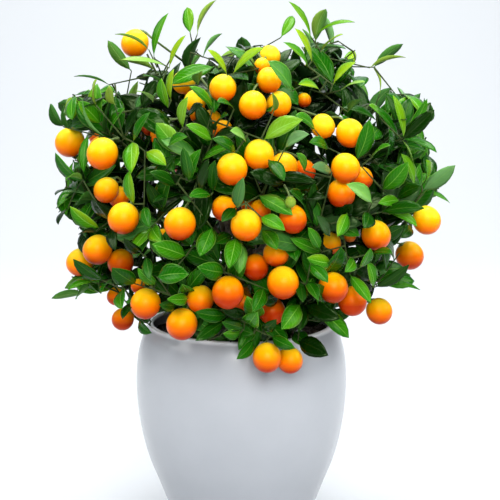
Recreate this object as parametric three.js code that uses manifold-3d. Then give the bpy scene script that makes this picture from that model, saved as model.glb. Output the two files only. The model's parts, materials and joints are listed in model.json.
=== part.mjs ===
// A kumquat bonsai in a glazed ceramic pot. Millimetres, +Z up, origin at the centre of the
// pot's foot, the side that the photograph shows towards -Y.
import * as THREE from 'three';
import { mergeVertices } from 'three/addons/utils/BufferGeometryUtils.js';
import Module from 'manifold-3d';

// Pot: outer radius at each height, an ovoid jar with a drawn-in neck
const POT_OUTSIDE = [[60, 0], [65, 8], [77.6, 36], [88.5, 64], [98.5, 90], [105.5, 118],
  [109.4, 146], [110.5, 172], [108.5, 198], [103.5, 218], [98, 230]];
const POT_WALL = 6;
const POT_FLOOR = 12;
const RIM_ROUND = 3;
const POT_SIDES = 28;

// Soil and the plain hole that the trunk stands in
const SOIL_TOP = 219;
const HOLE_RADIUS = 12.7;
const HOLE_BOTTOM = 150;
const GAP = 0.3;

// Trunk and limbs
const TRUNK_RADIUS = 12;
const TRUNK_WAIST = 11.6;
const HEAD_RADIUS = 8.5;
const TRUNK_SIDES = 10;
const SWAY = new THREE.Vector3(3, 2, 255);
const HEAD = new THREE.Vector3(0, 0, 292);
const LIMB_RADIUS = 4.6;
const LIMB_REACH = 0.44;
const LIMB_RISE = 10;
const LIMB_ARCH = 0.16;
const LIMB_HIGHEST = 6;
const LIMB_SPREAD = 40;
const LIMB_TURN = 0.618;
const SEAT_RADIUS = 2.7;

// Crown: an ellipsoid that the fruits and leaves lie on
const CROWN = new THREE.Vector3(9, 0, 386);
const CROWN_RADII = new THREE.Vector3(205, 172, 168);
const CROWN_DROP = 235;

// Twigs, stalks and leaves
const STEM_TIP_RADIUS = 1.5;
const FOOT_RADIUS = 1.15;
const TWIG_TIP_RADIUS = 1.4;
const STALK_RADIUS = 1.4;
const FORK_STEP = 2;
const SHARPEST_BEND = 0.3;
const SHARPEST_STALK_BEND = 0;
const SHOOT_STEPS = 4;
const BLADE_THICKNESS = 1.5;
const BLADE_ARCH = 0.07;
const BLADE_STATIONS = [[0.32, 0.93], [0.69, 0.87]];
const LEAF_LENGTH = 46;
const LEAF_WIDTH = 17;
const DIRECT_REACH = 15;
const TWIG_REACH = 62;
const FRUIT_LENGTH_RATIO = 1.06;
const FRUIT_SIDES = 6;
const FRUIT_SWELL = 1.06;
const GOLDEN_ANGLE = THREE.MathUtils.degToRad(137.5);

// Clearances that keep every solid free of its neighbours
const LEAF_CLEARANCE = 1.6;
const LIMB_BALL = 4;
const SHOOT_BALL = 2.2;
const CLEARANCE = 0.9;
const SEATING_ROUNDS = 3;
const SEATING_REACH = 5;
const FOOT_FREE = 9;
const FOOT_SPACING = 4.8;

// The photograph's sight lines: columns and rows of a picture 500 across, seen from the eye
const EYE = new THREE.Vector3(9, -1500, 575);
const DOWNWARD = THREE.MathUtils.degToRad(10.1);
const FOCAL = 1464;
const MIDDLE = 250;
const NEAREST = 1250;
const FARTHEST = 1700;

// Shoot tips: column, row and how far out in the crown, from 0 at its centre to 1
const SHOOT_TIPS = [
  [318, 42, 0.9], [147, 54, 0.9], [96, 120, 0.9], [74, 190, 0.9], [86, 286, 0.9],
  [388, 284, 0.9], [416, 203, 0.9], [402, 128, 0.9], [260, 66, 0.86], [217, 66, 0.84],
  [172, 306, 0.96], [254, 333, 1.0], [322, 312, 0.94], [262, 192, 0.88], [196, 152, 0.88],
  [322, 226, 0.88],
];

// Fruits, bunch by bunch: column, row, diameter and how far out in the crown
const BUNCHES = [
  [[135, 43, 27, 0.9]],
  [[70, 142, 29, 0.9]],
  [[102.5, 153.5, 31, 0.94]],
  [[152, 124, 23, 0.72], [162, 135, 23, 0.74]],
  [[123.5, 218, 31, 0.95], [106.5, 190, 25, 0.86], [119, 197, 21, 0.8], [81, 190, 19, 0.74]],
  [[97.5, 249.5, 29, 0.92], [120.5, 262, 26, 0.88], [80, 262, 27, 0.8]],
  [[145.6, 303.5, 30, 0.97], [123, 319, 22, 0.86]],
  [[180, 223.5, 32, 0.98]],
  [[182, 324, 31, 1.0], [200.5, 299, 27, 0.9]],
  [[227.8, 292.4, 32, 1.0], [243, 303, 22, 0.8]],
  [[267, 357.5, 29, 1.02], [290, 360, 26, 1.0]],
  [[283, 282.5, 32, 0.98], [276, 253, 26, 0.86], [255.6, 267, 26, 0.9], [272, 311, 27, 0.88]],
  [[293, 219, 28, 0.94]],
  [[246, 225, 31, 0.98], [224, 208, 25, 0.86], [260, 211, 22, 0.8]],
  [[232, 169, 31, 0.95], [223, 131, 21, 0.7]],
  [[259, 154.5, 30, 0.95], [284, 167, 28, 0.84], [304, 171, 23, 0.76]],
  [[253, 105, 28, 0.92], [279, 104, 25, 0.8], [269, 80, 25, 0.86], [270, 56, 21, 0.8]],
  [[223, 88, 27, 0.9], [195, 101, 22, 0.76], [211, 122, 24, 0.74], [184, 82, 23, 0.74]],
  [[350, 133, 28, 0.92], [323, 126, 24, 0.8]],
  [[345.5, 168, 29, 0.97], [341, 193.5, 28, 0.95], [362, 178, 22, 0.82]],
  [[376, 235, 29, 0.92], [330, 243, 22, 0.76]],
  [[426.5, 220, 28, 0.95]],
  [[352, 301, 29, 0.94], [333, 287.5, 30, 0.95], [379, 311, 26, 0.9]],
];

// Bunches and shoots repeated on the other sides: which one, and its turn about the crown's axis
const FAR_BUNCHES = [[4, 180], [8, 180], [13, 180], [17, 180], [19, 180], [9, 110], [15, -110]];
const FAR_SHOOTS = [[3, 180], [7, 180], [8, 180], [10, 180], [12, 180], [13, 180], [14, 180],
  [13, 110], [15, -110], [8, 110], [9, -110]];
const FAR_LEAVES = [[0, 180], [1, 180], [2, 110], [3, -110]];
const FAR_SQUEEZE = 0.93;

// Leaves that stand out, group by group: column and row of base and tip, and seen width
const CROWN_SHOOT_LEAVES = [
  [311, 38, 290, 1, 9], [319, 37, 326, 8, 13], [325, 42, 353, 19, 9], [321, 52, 343, 34, 9],
  [312, 62, 296, 28, 13], [308, 67, 286, 41, 8], [327, 95, 315, 68, 15], [333, 85, 355, 62, 13],
  [341, 90, 364, 80, 10], [339, 121, 335, 88, 13], [348, 112, 361, 97, 12],
];
const RIGHT_LEAVES = [
  [402, 140, 387, 92, 11], [404, 138, 395, 95, 10], [406, 136, 428, 100, 9],
  [402, 140, 434, 110, 14], [398, 142, 372, 105, 11], [404, 148, 437, 150, 9],
  [423, 190, 455, 166, 15], [422, 185, 427, 160, 17], [358, 172, 400, 156, 10],
  [382, 190, 408, 163, 17], [382, 212, 423, 207, 14], [372, 203, 348, 184, 15],
  [375, 208, 364, 228, 15], [356, 160, 370, 121, 17], [345, 160, 334, 131, 18],
];
const LOWER_RIGHT_LEAVES = [
  [375, 287, 409, 266, 10], [350, 275, 371, 303, 13], [305, 305, 340, 319, 18],
  [300, 304, 282, 329, 20], [305, 312, 299, 331, 11], [298, 341, 327, 355, 19],
  [253, 340, 237, 359, 11], [272, 337, 294, 348, 12], [347, 213, 338, 236, 13],
  [331, 263, 309, 258, 15], [322, 252, 291, 238, 12], [310, 265, 328, 282, 13],
];
const LOWER_LEFT_LEAVES = [
  [227, 315, 196, 312, 14], [225, 321, 197, 340, 13], [139, 320, 151, 333, 9],
  [124, 288, 122, 309, 15], [188, 298, 169, 299, 11], [157, 277, 189, 274, 20],
  [136, 284, 112, 268, 20], [162, 226, 140, 256, 17], [102, 280, 73, 260, 14],
  [96, 283, 68, 289, 10], [100, 228, 70, 207, 14], [68, 208, 57.5, 224, 9],
];
const LEFT_LEAVES = [
  [108, 133, 78, 101, 14], [120, 138, 107, 99, 18], [125, 138, 139, 106, 13],
  [133, 142, 150, 112, 11], [115, 105, 107, 86, 11], [96, 105, 96.5, 79, 9],
  [80, 112, 88, 93, 10], [64, 127, 48, 104, 14], [70, 125, 62, 105, 10],
  [88, 135, 83, 172, 11], [137, 148, 131, 173, 17], [146, 152, 165, 164, 14],
  [176, 185, 150, 172, 13], [165, 213, 147, 183, 14], [144, 207, 148, 226, 12],
  [83, 180, 65, 177, 9], [71, 186, 55, 195, 9],
];
const UPPER_LEFT_LEAVES = [
  [154, 57, 168, 13, 10], [169, 68, 184, 35, 10], [153, 70, 123, 57, 9],
  [153, 102, 137, 90, 10], [160, 82, 143, 75, 10], [171, 100, 171, 70, 10],
];
const TOP_LEAVES = [
  [292, 91, 268, 61, 20], [227, 75, 210, 49, 9], [240, 81, 262, 47, 13], [248, 57, 234, 48, 9],
  [198, 85, 198, 73, 12], [213, 108, 190, 86, 12], [260, 137, 256, 112, 13],
  [264, 140, 302, 119, 19], [285, 148, 309, 134, 14], [236, 152, 214, 138, 14],
  [332, 172, 312, 167, 13], [281, 187, 316, 181, 10], [237, 208, 243, 178, 12],
  [212, 228, 200, 256, 18], [232, 235, 215, 243, 13], [236, 238, 229, 267, 17],
  [261, 217, 284, 229, 14], [262, 230, 277, 249, 15], [328, 148, 310, 142, 14],
];
const SEEN_LEAVES = [
  CROWN_SHOOT_LEAVES, RIGHT_LEAVES, LOWER_RIGHT_LEAVES, LOWER_LEFT_LEAVES, LEFT_LEAVES,
  UPPER_LEFT_LEAVES, TOP_LEAVES,
].flat();
const SEEN_LEAF_SHELL = 0.95;
const FAR_SIDE_FROM = -25;
const FAR_STEP = 5;
const DEPTH_TRIES = [0, -9, 9, -18, 18, -28, 28, -40, 40];

// Leaves that fill each shoot by rule
const FILL_LEAVES = 2;
const TURN_TRIES = [0, 40, -40, 80, -80, 120, -120, 160].map(THREE.MathUtils.degToRad);

const FINISHES = {
  pot: { color: 0xc9ccd3, roughness: 0.22, metalness: 0 },
  soil: { color: 0x2c221b, roughness: 0.95, metalness: 0 },
  trunk: { color: 0x6b5942, roughness: 0.85, metalness: 0 },
  spray: { color: 0x3c6b28, roughness: 0.45, metalness: 0 },
  fruit: { color: 0xf08a17, roughness: 0.38, metalness: 0 },
};

const wasm = await Module();
wasm.setup();

const UP = new THREE.Vector3(0, 0, 1);
const mix = (a, b, share) => a.clone().lerp(b, share);
const along = (from, direction, distance) => from.clone().addScaledVector(direction, distance);

// The direction in which a column and row of the picture are seen from the eye
function sightLine(column, row) {
  const aside = (column - MIDDLE) / FOCAL;
  const down = (row - MIDDLE) / FOCAL;
  return new THREE.Vector3(
    aside,
    Math.cos(DOWNWARD) - down * Math.sin(DOWNWARD),
    -Math.sin(DOWNWARD) - down * Math.cos(DOWNWARD),
  ).normalize();
}

// How far out a point lies in the crown: 0 at its centre, 1 on its surface
function shellOf(point) {
  const offset = point.clone().sub(CROWN);
  const tall = offset.z > 0 ? CROWN_RADII.z : CROWN_DROP;
  return Math.hypot(offset.x / CROWN_RADII.x, offset.y / CROWN_RADII.y, offset.z / tall);
}

// The first point of a sight line that lies a share of the way out in the crown, or else the
// point where it passes closest to the centre
function seenOnShell(column, row, shell) {
  const line = sightLine(column, row);
  let best = null;
  for (let distance = NEAREST; distance < FARTHEST; distance += 1) {
    const point = along(EYE, line, distance);
    const out = shellOf(point);
    if (out <= shell) {
      return point;
    }
    best = best && best.out <= out ? best : { point, out };
  }
  return best.point;
}

// The same direction turned by degrees about the crown's upright axis
function turnedDirection(direction, turn) {
  return direction.clone().applyAxisAngle(UP, THREE.MathUtils.degToRad(turn));
}

// The same point turned about the crown's axis along its oval, and drawn in
function turnedPoint(point, turn) {
  const round = point.clone().sub(CROWN).divide(CROWN_RADII);
  return turnedDirection(round, turn)
    .multiply(CROWN_RADII)
    .multiply(new THREE.Vector3(FAR_SQUEEZE, 1, 1))
    .add(CROWN);
}

// Everything placed so far, as balls that cover it: rods, fruits and leaf blades
const placed = [];

// The radius of a profile of [radius, height] steps at a height, and nothing above or below it
function radiusAt(profile, height) {
  const above = profile.findIndex((step) => step[1] >= height);
  if (above < 1) {
    return 0;
  }
  const [lowRadius, low] = profile[above - 1];
  const [highRadius, high] = profile[above];
  return lowRadius + (highRadius - lowRadius) * (height - low) / (high - low);
}

// A ball is clear of the pot outside its wall, above its rim, or inside its neck over the soil
function clearOfPot(ball) {
  const reach = ball.radius + 2;
  const out = Math.hypot(ball.x, ball.y);
  const rimTop = POT_OUTSIDE.at(-1)[1] + RIM_ROUND;
  const innerNeck = POT_OUTSIDE.at(-1)[0] - POT_WALL;
  return ball.z > rimTop + reach || out > radiusAt(POT_OUTSIDE, ball.z) + reach
    || (ball.z > SOIL_TOP + reach && out < innerNeck - reach);
}

// A set of balls is clear when none comes near the pot or what is placed. Leaves and twigs of
// one shoot may meet only round the foot where the new one leaves the wood.
function isClear(balls, owner, foot = null) {
  if (balls.length === 0) {
    return true;
  }
  const middle = balls[Math.floor(balls.length / 2)];
  const span = Math.max(...balls.map((ball) => distanceBetween(ball, middle)));
  const near = placed.filter((other) => (
    distanceBetween(other, middle) < span + other.radius + 5));
  return balls.every((ball) => {
    const byFoot = foot !== null && distanceBetween(ball, foot) < FOOT_FREE;
    return clearOfPot(ball) && near.every((other) => {
      const own = other.owner === owner;
      if (own && (byFoot || foot === null || distanceBetween(other, foot) < FOOT_FREE)) {
        return true;
      }
      return distanceBetween(ball, other) > ball.radius + other.radius + CLEARANCE;
    });
  });
}

function distanceBetween(p, q) {
  return Math.hypot(p.x - q.x, p.y - q.y, p.z - q.z);
}

// The cosine of the turn that a path takes at its middle point
function bendAt(start, middle, end) {
  return middle.clone().sub(start).normalize().dot(end.clone().sub(middle).normalize());
}

function ball(point, radius, owner) {
  return { x: point.x, y: point.y, z: point.z, radius, owner };
}

// Balls of one radius, close together along a path
function rodBalls(points, radius, owner) {
  return points.slice(1).flatMap((end, index) => {
    const start = points[index];
    const steps = Math.max(1, Math.ceil(start.distanceTo(end) / 3));
    return Array.from({ length: steps + 1 }, (_, step) => (
      ball(mix(start, end, step / steps), radius, owner)));
  });
}

// A closed surface through sections that are rings of any number of points, or single points
function loft(sections) {
  const faces = [];
  let start = 0;
  sections.slice(1).forEach((section, index) => {
    const near = sections[index].length;
    const far = section.length;
    const next = start + near;
    const sides = Math.max(near, far);
    for (let side = 0; side < sides; side += 1) {
      const [a, b] = [side, side + 1].map((k) => start + Math.floor(k * near / sides) % near);
      const [d, c] = [side, side + 1].map((k) => next + Math.floor(k * far / sides) % far);
      if (c !== d) {
        faces.push(a, c, d);
      }
      if (a !== b) {
        faces.push(a, b, c);
      }
    }
    start = next;
  });
  for (let side = 1; side < sections[0].length - 1; side += 1) {
    faces.push(0, side + 1, side);
  }
  for (let side = 1; side < sections.at(-1).length - 1; side += 1) {
    faces.push(start, start + side, start + side + 1);
  }
  const geometry = new THREE.BufferGeometry().setFromPoints(sections.flat());
  geometry.setIndex(faces);
  return geometry;
}

// A tapering rod along a curve, square to it at both ends
function rod(curve, steps, startRadius, endRadius, sides) {
  const lead = anySideways(curve.getTangent(0));
  return loft(Array.from({ length: steps + 1 }, (_, step) => {
    const share = step / steps;
    const radius = startRadius + (endRadius - startRadius) * share;
    return ringAbout(curve.getPoint(share), curve.getTangent(share), lead, radius, sides);
  }));
}

// Some direction square to the given one
function anySideways(direction) {
  const helper = Math.abs(direction.z) < 0.8 ? UP : new THREE.Vector3(1, 0, 0);
  return helper.clone().cross(direction).normalize();
}

// A thin arched blade, keeled under its midrib, from its foot to its tip. The foot lies in the
// wood that carries it, at the end of a twig of the leaf's own where that wood is some way off.
function blade(leaf) {
  const { root, tip, width } = leaf;
  const { length, forward, side, face } = leafFrame(leaf);
  const rings = BLADE_STATIONS.map(([share, fullness]) => {
    const rise = 4 * BLADE_ARCH * length * share * (1 - share);
    const centre = along(along(root, forward, share * length), face, rise);
    const half = 0.5 * width * fullness;
    return [along(centre, side, half), along(centre, side, -half),
      along(centre, face, -BLADE_THICKNESS)];
  });
  return loft([...footRings(leaf.twigFrom ?? root, root, side, forward), ...rings, [tip]]);
}

// Three-sided rings at the foot of a leaf: in the wood, and at the end of its twig if it has one
function footRings(start, root, side, forward) {
  const reach = start.distanceTo(root);
  const direction = reach > 0 ? root.clone().sub(start).divideScalar(reach) : forward;
  const mitre = direction.clone().add(forward).normalize();
  const ends = reach > 0
    ? [[start, FOOT_RADIUS, direction], [root, TWIG_TIP_RADIUS, mitre]]
    : [[start, FOOT_RADIUS, forward]];
  return ends.map(([centre, radius, heading]) => {
    const across = along(side, heading, -side.dot(heading)).normalize();
    const upright = heading.clone().cross(across);
    const high = along(centre, upright, 0.5 * radius);
    return [along(high, across, radius), along(high, across, -radius),
      along(centre, upright, -radius)];
  });
}

// A leaf's length and its directions: forward, to one side, and out of its upper face
function leafFrame({ root, tip, face: facing }) {
  const length = root.distanceTo(tip);
  const forward = tip.clone().sub(root).divideScalar(length);
  const face = along(facing, forward, -facing.dot(forward)).normalize();
  const side = face.clone().cross(forward);
  return { length, forward, side, face };
}

// Balls over a blade's oval outline, and along its narrow foot
function leafBalls(leaf, owner) {
  const { length, forward, side, face } = leafFrame(leaf);
  const balls = rodBalls([leaf.root, along(leaf.root, forward, 0.18 * length)], 0.6, owner);
  for (let share = 0.2; share <= 1.001; share += 0.08) {
    const rise = 4 * BLADE_ARCH * length * share * (1 - share);
    const centre = along(along(leaf.root, forward, share * length), face, rise);
    const half = 0.5 * leaf.width * Math.sqrt(Math.max(0, 1 - (2 * share - 1) ** 2));
    for (const across of [-1, -0.5, 0, 0.5, 1]) {
      balls.push(ball(along(centre, side, across * half), LEAF_CLEARANCE, owner));
    }
  }
  return balls;
}

// A solid from a closed surface whose meeting points are shared
function closedSolid(geometry) {
  geometry.deleteAttribute('normal');
  geometry.deleteAttribute('uv');
  const merged = mergeVertices(geometry, 1e-3);
  const triangles = [];
  for (let start = 0; start < merged.index.count; start += 3) {
    const [a, b, c] = [0, 1, 2].map((corner) => merged.index.getX(start + corner));
    if (a !== b && b !== c && c !== a) {
      triangles.push(a, b, c);
    }
  }
  return new wasm.Manifold(new wasm.Mesh({
    numProp: 3,
    vertProperties: merged.attributes.position.array,
    triVerts: new Uint32Array(triangles),
  }));
}

// One solid from shapes that grow into each other
function bodyOf(shapes) {
  const joined = wasm.Manifold.union(shapes.map(closedSolid)).simplify(0.1);
  return joined.decompose().reduce((most, piece) => (
    piece.volume() > most.volume() ? piece : most));
}

// A named mesh of a solid
function meshOf(name, finish, body) {
  const { vertProperties, triVerts } = body.getMesh();
  const geometry = new THREE.BufferGeometry();
  geometry.setAttribute('position', new THREE.BufferAttribute(vertProperties, 3));
  geometry.setIndex(new THREE.BufferAttribute(triVerts, 1));
  const mesh = new THREE.Mesh(geometry, new THREE.MeshStandardMaterial(FINISHES[finish]));
  mesh.name = name;
  return mesh;
}

// Turns a profile of radius and height about the upright axis
function turned(profile) {
  const points = profile.map(([radius, height]) => new THREE.Vector2(radius, height));
  return new THREE.LatheGeometry(points, POT_SIDES).rotateX(Math.PI / 2);
}

// The pot's inside from floor to rim, with every other step of the outside, drawn in by a gap
function insideProfile(gap) {
  const wall = POT_OUTSIDE.filter((step, index) => step[1] > POT_FLOOR && index % 2 === 0)
    .map(([radius, height]) => [radius - POT_WALL - gap, height]);
  const floorRadius = radiusAt(POT_OUTSIDE, POT_FLOOR) - POT_WALL - gap;
  return [[floorRadius, POT_FLOOR + gap], ...wall];
}

// Pot: outside up to the rounded rim, then down the inside
function potShape() {
  const [neckRadius, neckHeight] = POT_OUTSIDE.at(-1);
  const rim = [0.25, 0.5, 0.75].map((share) => [
    neckRadius - POT_WALL / 2 * (1 - Math.cos(Math.PI * share)),
    neckHeight + RIM_ROUND * Math.sin(Math.PI * share),
  ]);
  return turned([[0, 0], ...POT_OUTSIDE, ...rim, ...insideProfile(0).reverse(), [0, POT_FLOOR]]);
}

// Soil: fills the pot to its level, with a plain round hole for the trunk
function soilShape() {
  const inside = insideProfile(GAP);
  return turned([
    [0, POT_FLOOR + GAP],
    ...inside.filter((step) => step[1] < SOIL_TOP),
    [radiusAt(inside, SOIL_TOP), SOIL_TOP],
    [HOLE_RADIUS, SOIL_TOP],
    [HOLE_RADIUS, HOLE_BOTTOM],
    [0, HOLE_BOTTOM],
  ]);
}

// Trunk: an upright foot in the soil and a swaying upper part up to the head
function trunkShapes() {
  const foot = new THREE.LineCurve3(
    new THREE.Vector3(0, 0, HOLE_BOTTOM + GAP), new THREE.Vector3(0, 0, SOIL_TOP + 4));
  const upper = new THREE.QuadraticBezierCurve3(
    new THREE.Vector3(0, 0, SOIL_TOP - 2), SWAY, HEAD);
  return [
    rod(foot, 1, TRUNK_RADIUS, TRUNK_RADIUS, TRUNK_SIDES),
    rod(upper, 4, TRUNK_WAIST, HEAD_RADIUS, TRUNK_SIDES),
  ];
}

// A fruit of the photograph, moved along its sight line until it is clear of pot and fruits
function placeFruit([column, row, width, shell], owner, friends) {
  const line = sightLine(column, row);
  const centre = seenOnShell(column, row, shell);
  const radius = 0.5 * width * EYE.distanceTo(centre) / FOCAL;
  const step = along(new THREE.Vector3(), line, 2);
  const meets = (other) => {
    const room = friends.includes(other) ? 0.5 : CLEARANCE + 1;
    return centre.distanceTo(other.centre) < radius + other.radius + room;
  };
  while (!clearOfPot(ball(centre, radius, owner))) {
    centre.sub(step);
  }
  while (fruits.some(meets)) {
    centre.add(step);
  }
  const inward = CROWN.clone().sub(centre).setZ(0).normalize();
  const axis = along(inward.multiplyScalar(0.62), UP, 0.78).normalize();
  return { centre, radius, axis, owner };
}

// The same fruit turned about the crown's axis
const turnedFruit = (fruit, turn, owner) => ({
  centre: turnedPoint(fruit.centre, turn),
  radius: fruit.radius,
  axis: turnedDirection(fruit.axis, turn),
  owner,
});

const fruits = [];
const bunches = BUNCHES.map((rows, index) => {
  const owner = `fruit_${String(index + 1).padStart(2, '0')}`;
  const members = [];
  rows.forEach((row) => {
    const fruit = placeFruit(row, owner, members);
    members.push(fruit);
    fruits.push(fruit);
  });
  return { owner, members };
});
FAR_BUNCHES.forEach(([which, turn]) => {
  const owner = `fruit_${String(bunches.length + 1).padStart(2, '0')}`;
  const members = bunches[which].members.map((fruit) => turnedFruit(fruit, turn, owner));
  fruits.push(...members);
  bunches.push({ owner, members });
});
fruits.forEach((fruit) => placed.push(ball(fruit.centre, fruit.radius, fruit.owner)));

// Limbs, and the shoots that go on from their flat ends
const sprays = [];
const limbs = [];

// A curve that leaves its start in a direction and bends past what is in its way
function bentCurve(start, direction, end, owner) {
  const reach = start.distanceTo(end);
  const sideways = anySideways(direction);
  const lift = direction.clone().cross(sideways);
  for (const bend of [0, 12, 22, 34, 46]) {
    for (let turn = 0; turn < (bend ? 8 : 1); turn += 1) {
      const angle = turn * Math.PI / 4;
      const late = along(along(mix(start, end, 0.6), sideways, bend * Math.cos(angle)),
        lift, bend * Math.sin(angle));
      const early = along(start, direction, 0.3 * reach);
      const curve = new THREE.CubicBezierCurve3(start, early, late, end);
      const balls = rodBalls(curve.getPoints(6), SHOOT_BALL, owner);
      if (isClear(balls, owner)) {
        return { curve, balls };
      }
    }
  }
  return null;
}

// A limb from the trunk towards a tip, and the shoot that goes on to that tip
function growShoot(tip, owner) {
  for (const share of [0, 0.06, 0.12, 0.18]) {
    const end = mix(tip, CROWN, share);
    const seat = along(mix(HEAD, end, LIMB_REACH), UP, LIMB_RISE);
    const down = LIMB_HIGHEST + LIMB_SPREAD * ((sprays.length * LIMB_TURN) % 1);
    const root = along(HEAD, UP, -down);
    const elbow = along(mix(root, seat, 0.5), UP, LIMB_ARCH * root.distanceTo(seat));
    const direction = seat.clone().sub(elbow).normalize();
    const start = along(seat, direction, GAP);
    const found = bentCurve(start, direction, end, owner);
    if (found) {
      const limb = new THREE.QuadraticBezierCurve3(root, elbow, seat);
      limbs.push(limb);
      placed.push(...rodBalls(limb.getPoints(5), LIMB_BALL, 'trunk'), ...found.balls);
      const points = found.curve.getPoints(SHOOT_STEPS);
      const taper = (SEAT_RADIUS - STEM_TIP_RADIUS) / SHOOT_STEPS;
      const wood = points.slice(1).map((b, index) => (
        { a: points[index], b, radius: SEAT_RADIUS - index * taper }));
      const stem = rod(found.curve, SHOOT_STEPS, SEAT_RADIUS, STEM_TIP_RADIUS, 4);
      sprays.push({ owner, wood, feet: [], shapes: [stem] });
      return;
    }
  }
  throw new Error(`no way for ${owner}`);
}

const tips = SHOOT_TIPS.map(([column, row, shell]) => seenOnShell(column, row, shell));
tips.push(...FAR_SHOOTS.map(([which, turn]) => turnedPoint(tips[which], turn)));
tips.forEach((tip, index) => growShoot(tip, `spray_${String(index + 1).padStart(2, '0')}`));

// The free place on a stretch of wood that lies nearest to a point, clear of other feet on it
function freeFoot(spray, { a, b }, point) {
  const line = new THREE.Line3(a, b);
  const share = Math.min(Math.max(line.closestPointToPointParameter(point, true), 0.05), 0.93);
  const step = FOOT_SPACING / a.distanceTo(b);
  const choices = [0, -1, 1, -2, 2].map((steps) => share + steps * step)
    .filter((choice) => choice >= 0.05 && choice <= 0.93)
    .map((choice) => mix(a, b, choice));
  return choices.find((foot) => (
    spray.feet.every((other) => other.distanceTo(foot) > 0.9 * FOOT_SPACING)));
}

// Places on the wood, nearest first, that a twig or stalk to a point could start from
function woodNear(point, reachLimit) {
  const out = point.distanceTo(CROWN);
  return sprays.flatMap((spray) => spray.wood.map((stretch) => {
    const foot = freeFoot(spray, stretch, point);
    const outward = foot ? Math.max(0, foot.distanceTo(CROWN) - out) : 0;
    const cost = foot ? foot.distanceTo(point) + 1.5 * outward : Infinity;
    return { spray, stretch, foot, cost };
  })).filter((near) => near.cost < reachLimit)
    .sort((first, second) => first.cost - second.cost).slice(0, 24);
}

// Fruit stalks: the bunch's own stem from beside the wood to a fork, and a stalk to each fruit
function forkChoices(members) {
  const heads = members.map((fruit) => along(fruit.centre, fruit.axis, fruit.radius));
  const middle = heads.reduce((sum, head) => sum.add(head), new THREE.Vector3())
    .divideScalar(heads.length);
  const inward = CROWN.clone().sub(middle).normalize();
  const aside = inward.clone().cross(UP).normalize();
  return [10, 16, 24].flatMap((depth) => [0, 9, -9, 18, -18].map((shift) => (
    along(along(along(middle, inward, depth), aside, shift), UP, 4))));
}

// The stem from beside a stretch of wood to a fork, if it and the stalks beyond are clear
function stemTo(bunch, fork, { foot, stretch }) {
  const direction = fork.clone().sub(foot).normalize();
  const lean = stretch.b.clone().sub(stretch.a).normalize().dot(direction);
  const steep = Math.sqrt(1 - lean * lean);
  const standOff = (stretch.radius + GAP + STALK_RADIUS * Math.abs(lean)) / steep;
  const shortest = standOff + FORK_STEP * bunch.members.length + 2;
  const first = bunch.members[0];
  const bend = bendAt(foot, fork, along(first.centre, first.axis, first.radius));
  if (steep < 0.6 || bend < SHARPEST_STALK_BEND || foot.distanceTo(fork) < shortest) {
    return null;
  }
  const stem = [along(foot, direction, standOff), fork];
  const stalks = bunch.members.map((fruit) => (
    [fork, along(fruit.centre, fruit.axis, fruit.radius * 0.86)]));
  const balls = [stem, ...stalks].flatMap((points) => (
    rodBalls(points, STALK_RADIUS, bunch.owner)));
  return isClear(balls.slice(1), bunch.owner) ? { stem, balls } : null;
}

// Hangs a bunch on the nearest wood that its stalks can reach
function hangBunch(bunch) {
  for (const fork of forkChoices(bunch.members)) {
    for (const near of woodNear(fork, 2 * TWIG_REACH)) {
      const found = stemTo(bunch, fork, near);
      if (found) {
        near.spray.feet.push(near.foot);
        bunch.spray = near.spray;
        bunch.stem = found.stem;
        placed.push(...found.balls);
        return;
      }
    }
  }
  throw new Error(`no stalk for ${bunch.owner}`);
}

// A ring of points about a centre, square to a direction and started towards a lead
function ringAbout(centre, direction, lead, radius, sides) {
  const across = along(lead, direction, -lead.dot(direction)).normalize();
  const upright = direction.clone().cross(across);
  return Array.from({ length: sides }, (_, side) => {
    const turn = 2 * Math.PI * side / sides;
    const out = along(new THREE.Vector3(), across, radius * Math.cos(turn));
    return along(out, upright, radius * Math.sin(turn)).add(centre);
  });
}

// A fruit grown on its stalk as one skin: along the stalk's points, over the fruit, to its far pole
function fruitShape({ centre, axis, radius: trueRadius }, stalk) {
  const radius = trueRadius * FRUIT_SWELL;
  const tall = radius * FRUIT_LENGTH_RATIO;
  const downward = axis.clone().negate();
  const lead = anySideways(downward);
  const path = [...stalk, along(centre, axis, tall)];
  const stalkRings = path.map((point, index) => {
    const after = path[index + 1] ?? centre;
    const before = path[index - 1] ?? point;
    const direction = after.clone().sub(point).normalize()
      .add(point.clone().sub(before).normalize()).normalize();
    return ringAbout(point, direction, lead, STALK_RADIUS, 3);
  });
  const bands = [0.25, 0.5, 0.75].map((share) => ringAbout(
    along(centre, axis, tall * Math.cos(Math.PI * share)), downward, lead,
    radius * Math.sin(Math.PI * share), FRUIT_SIDES));
  return loft([...stalkRings, ...bands, [along(centre, downward, tall)]]);
}

// The first fruit's stalk is the bunch's stem, from its seat past the fork. The others start in
// the middle of that stem, a little before the fork.
function bunchShapes({ members, stem: [seat, fork] }) {
  const back = seat.clone().sub(fork).normalize();
  return members.map((fruit, index) => (
    fruitShape(fruit, index === 0 ? [seat, fork] : [along(fork, back, FORK_STEP * index)])));
}

bunches.forEach(hangBunch);

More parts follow.
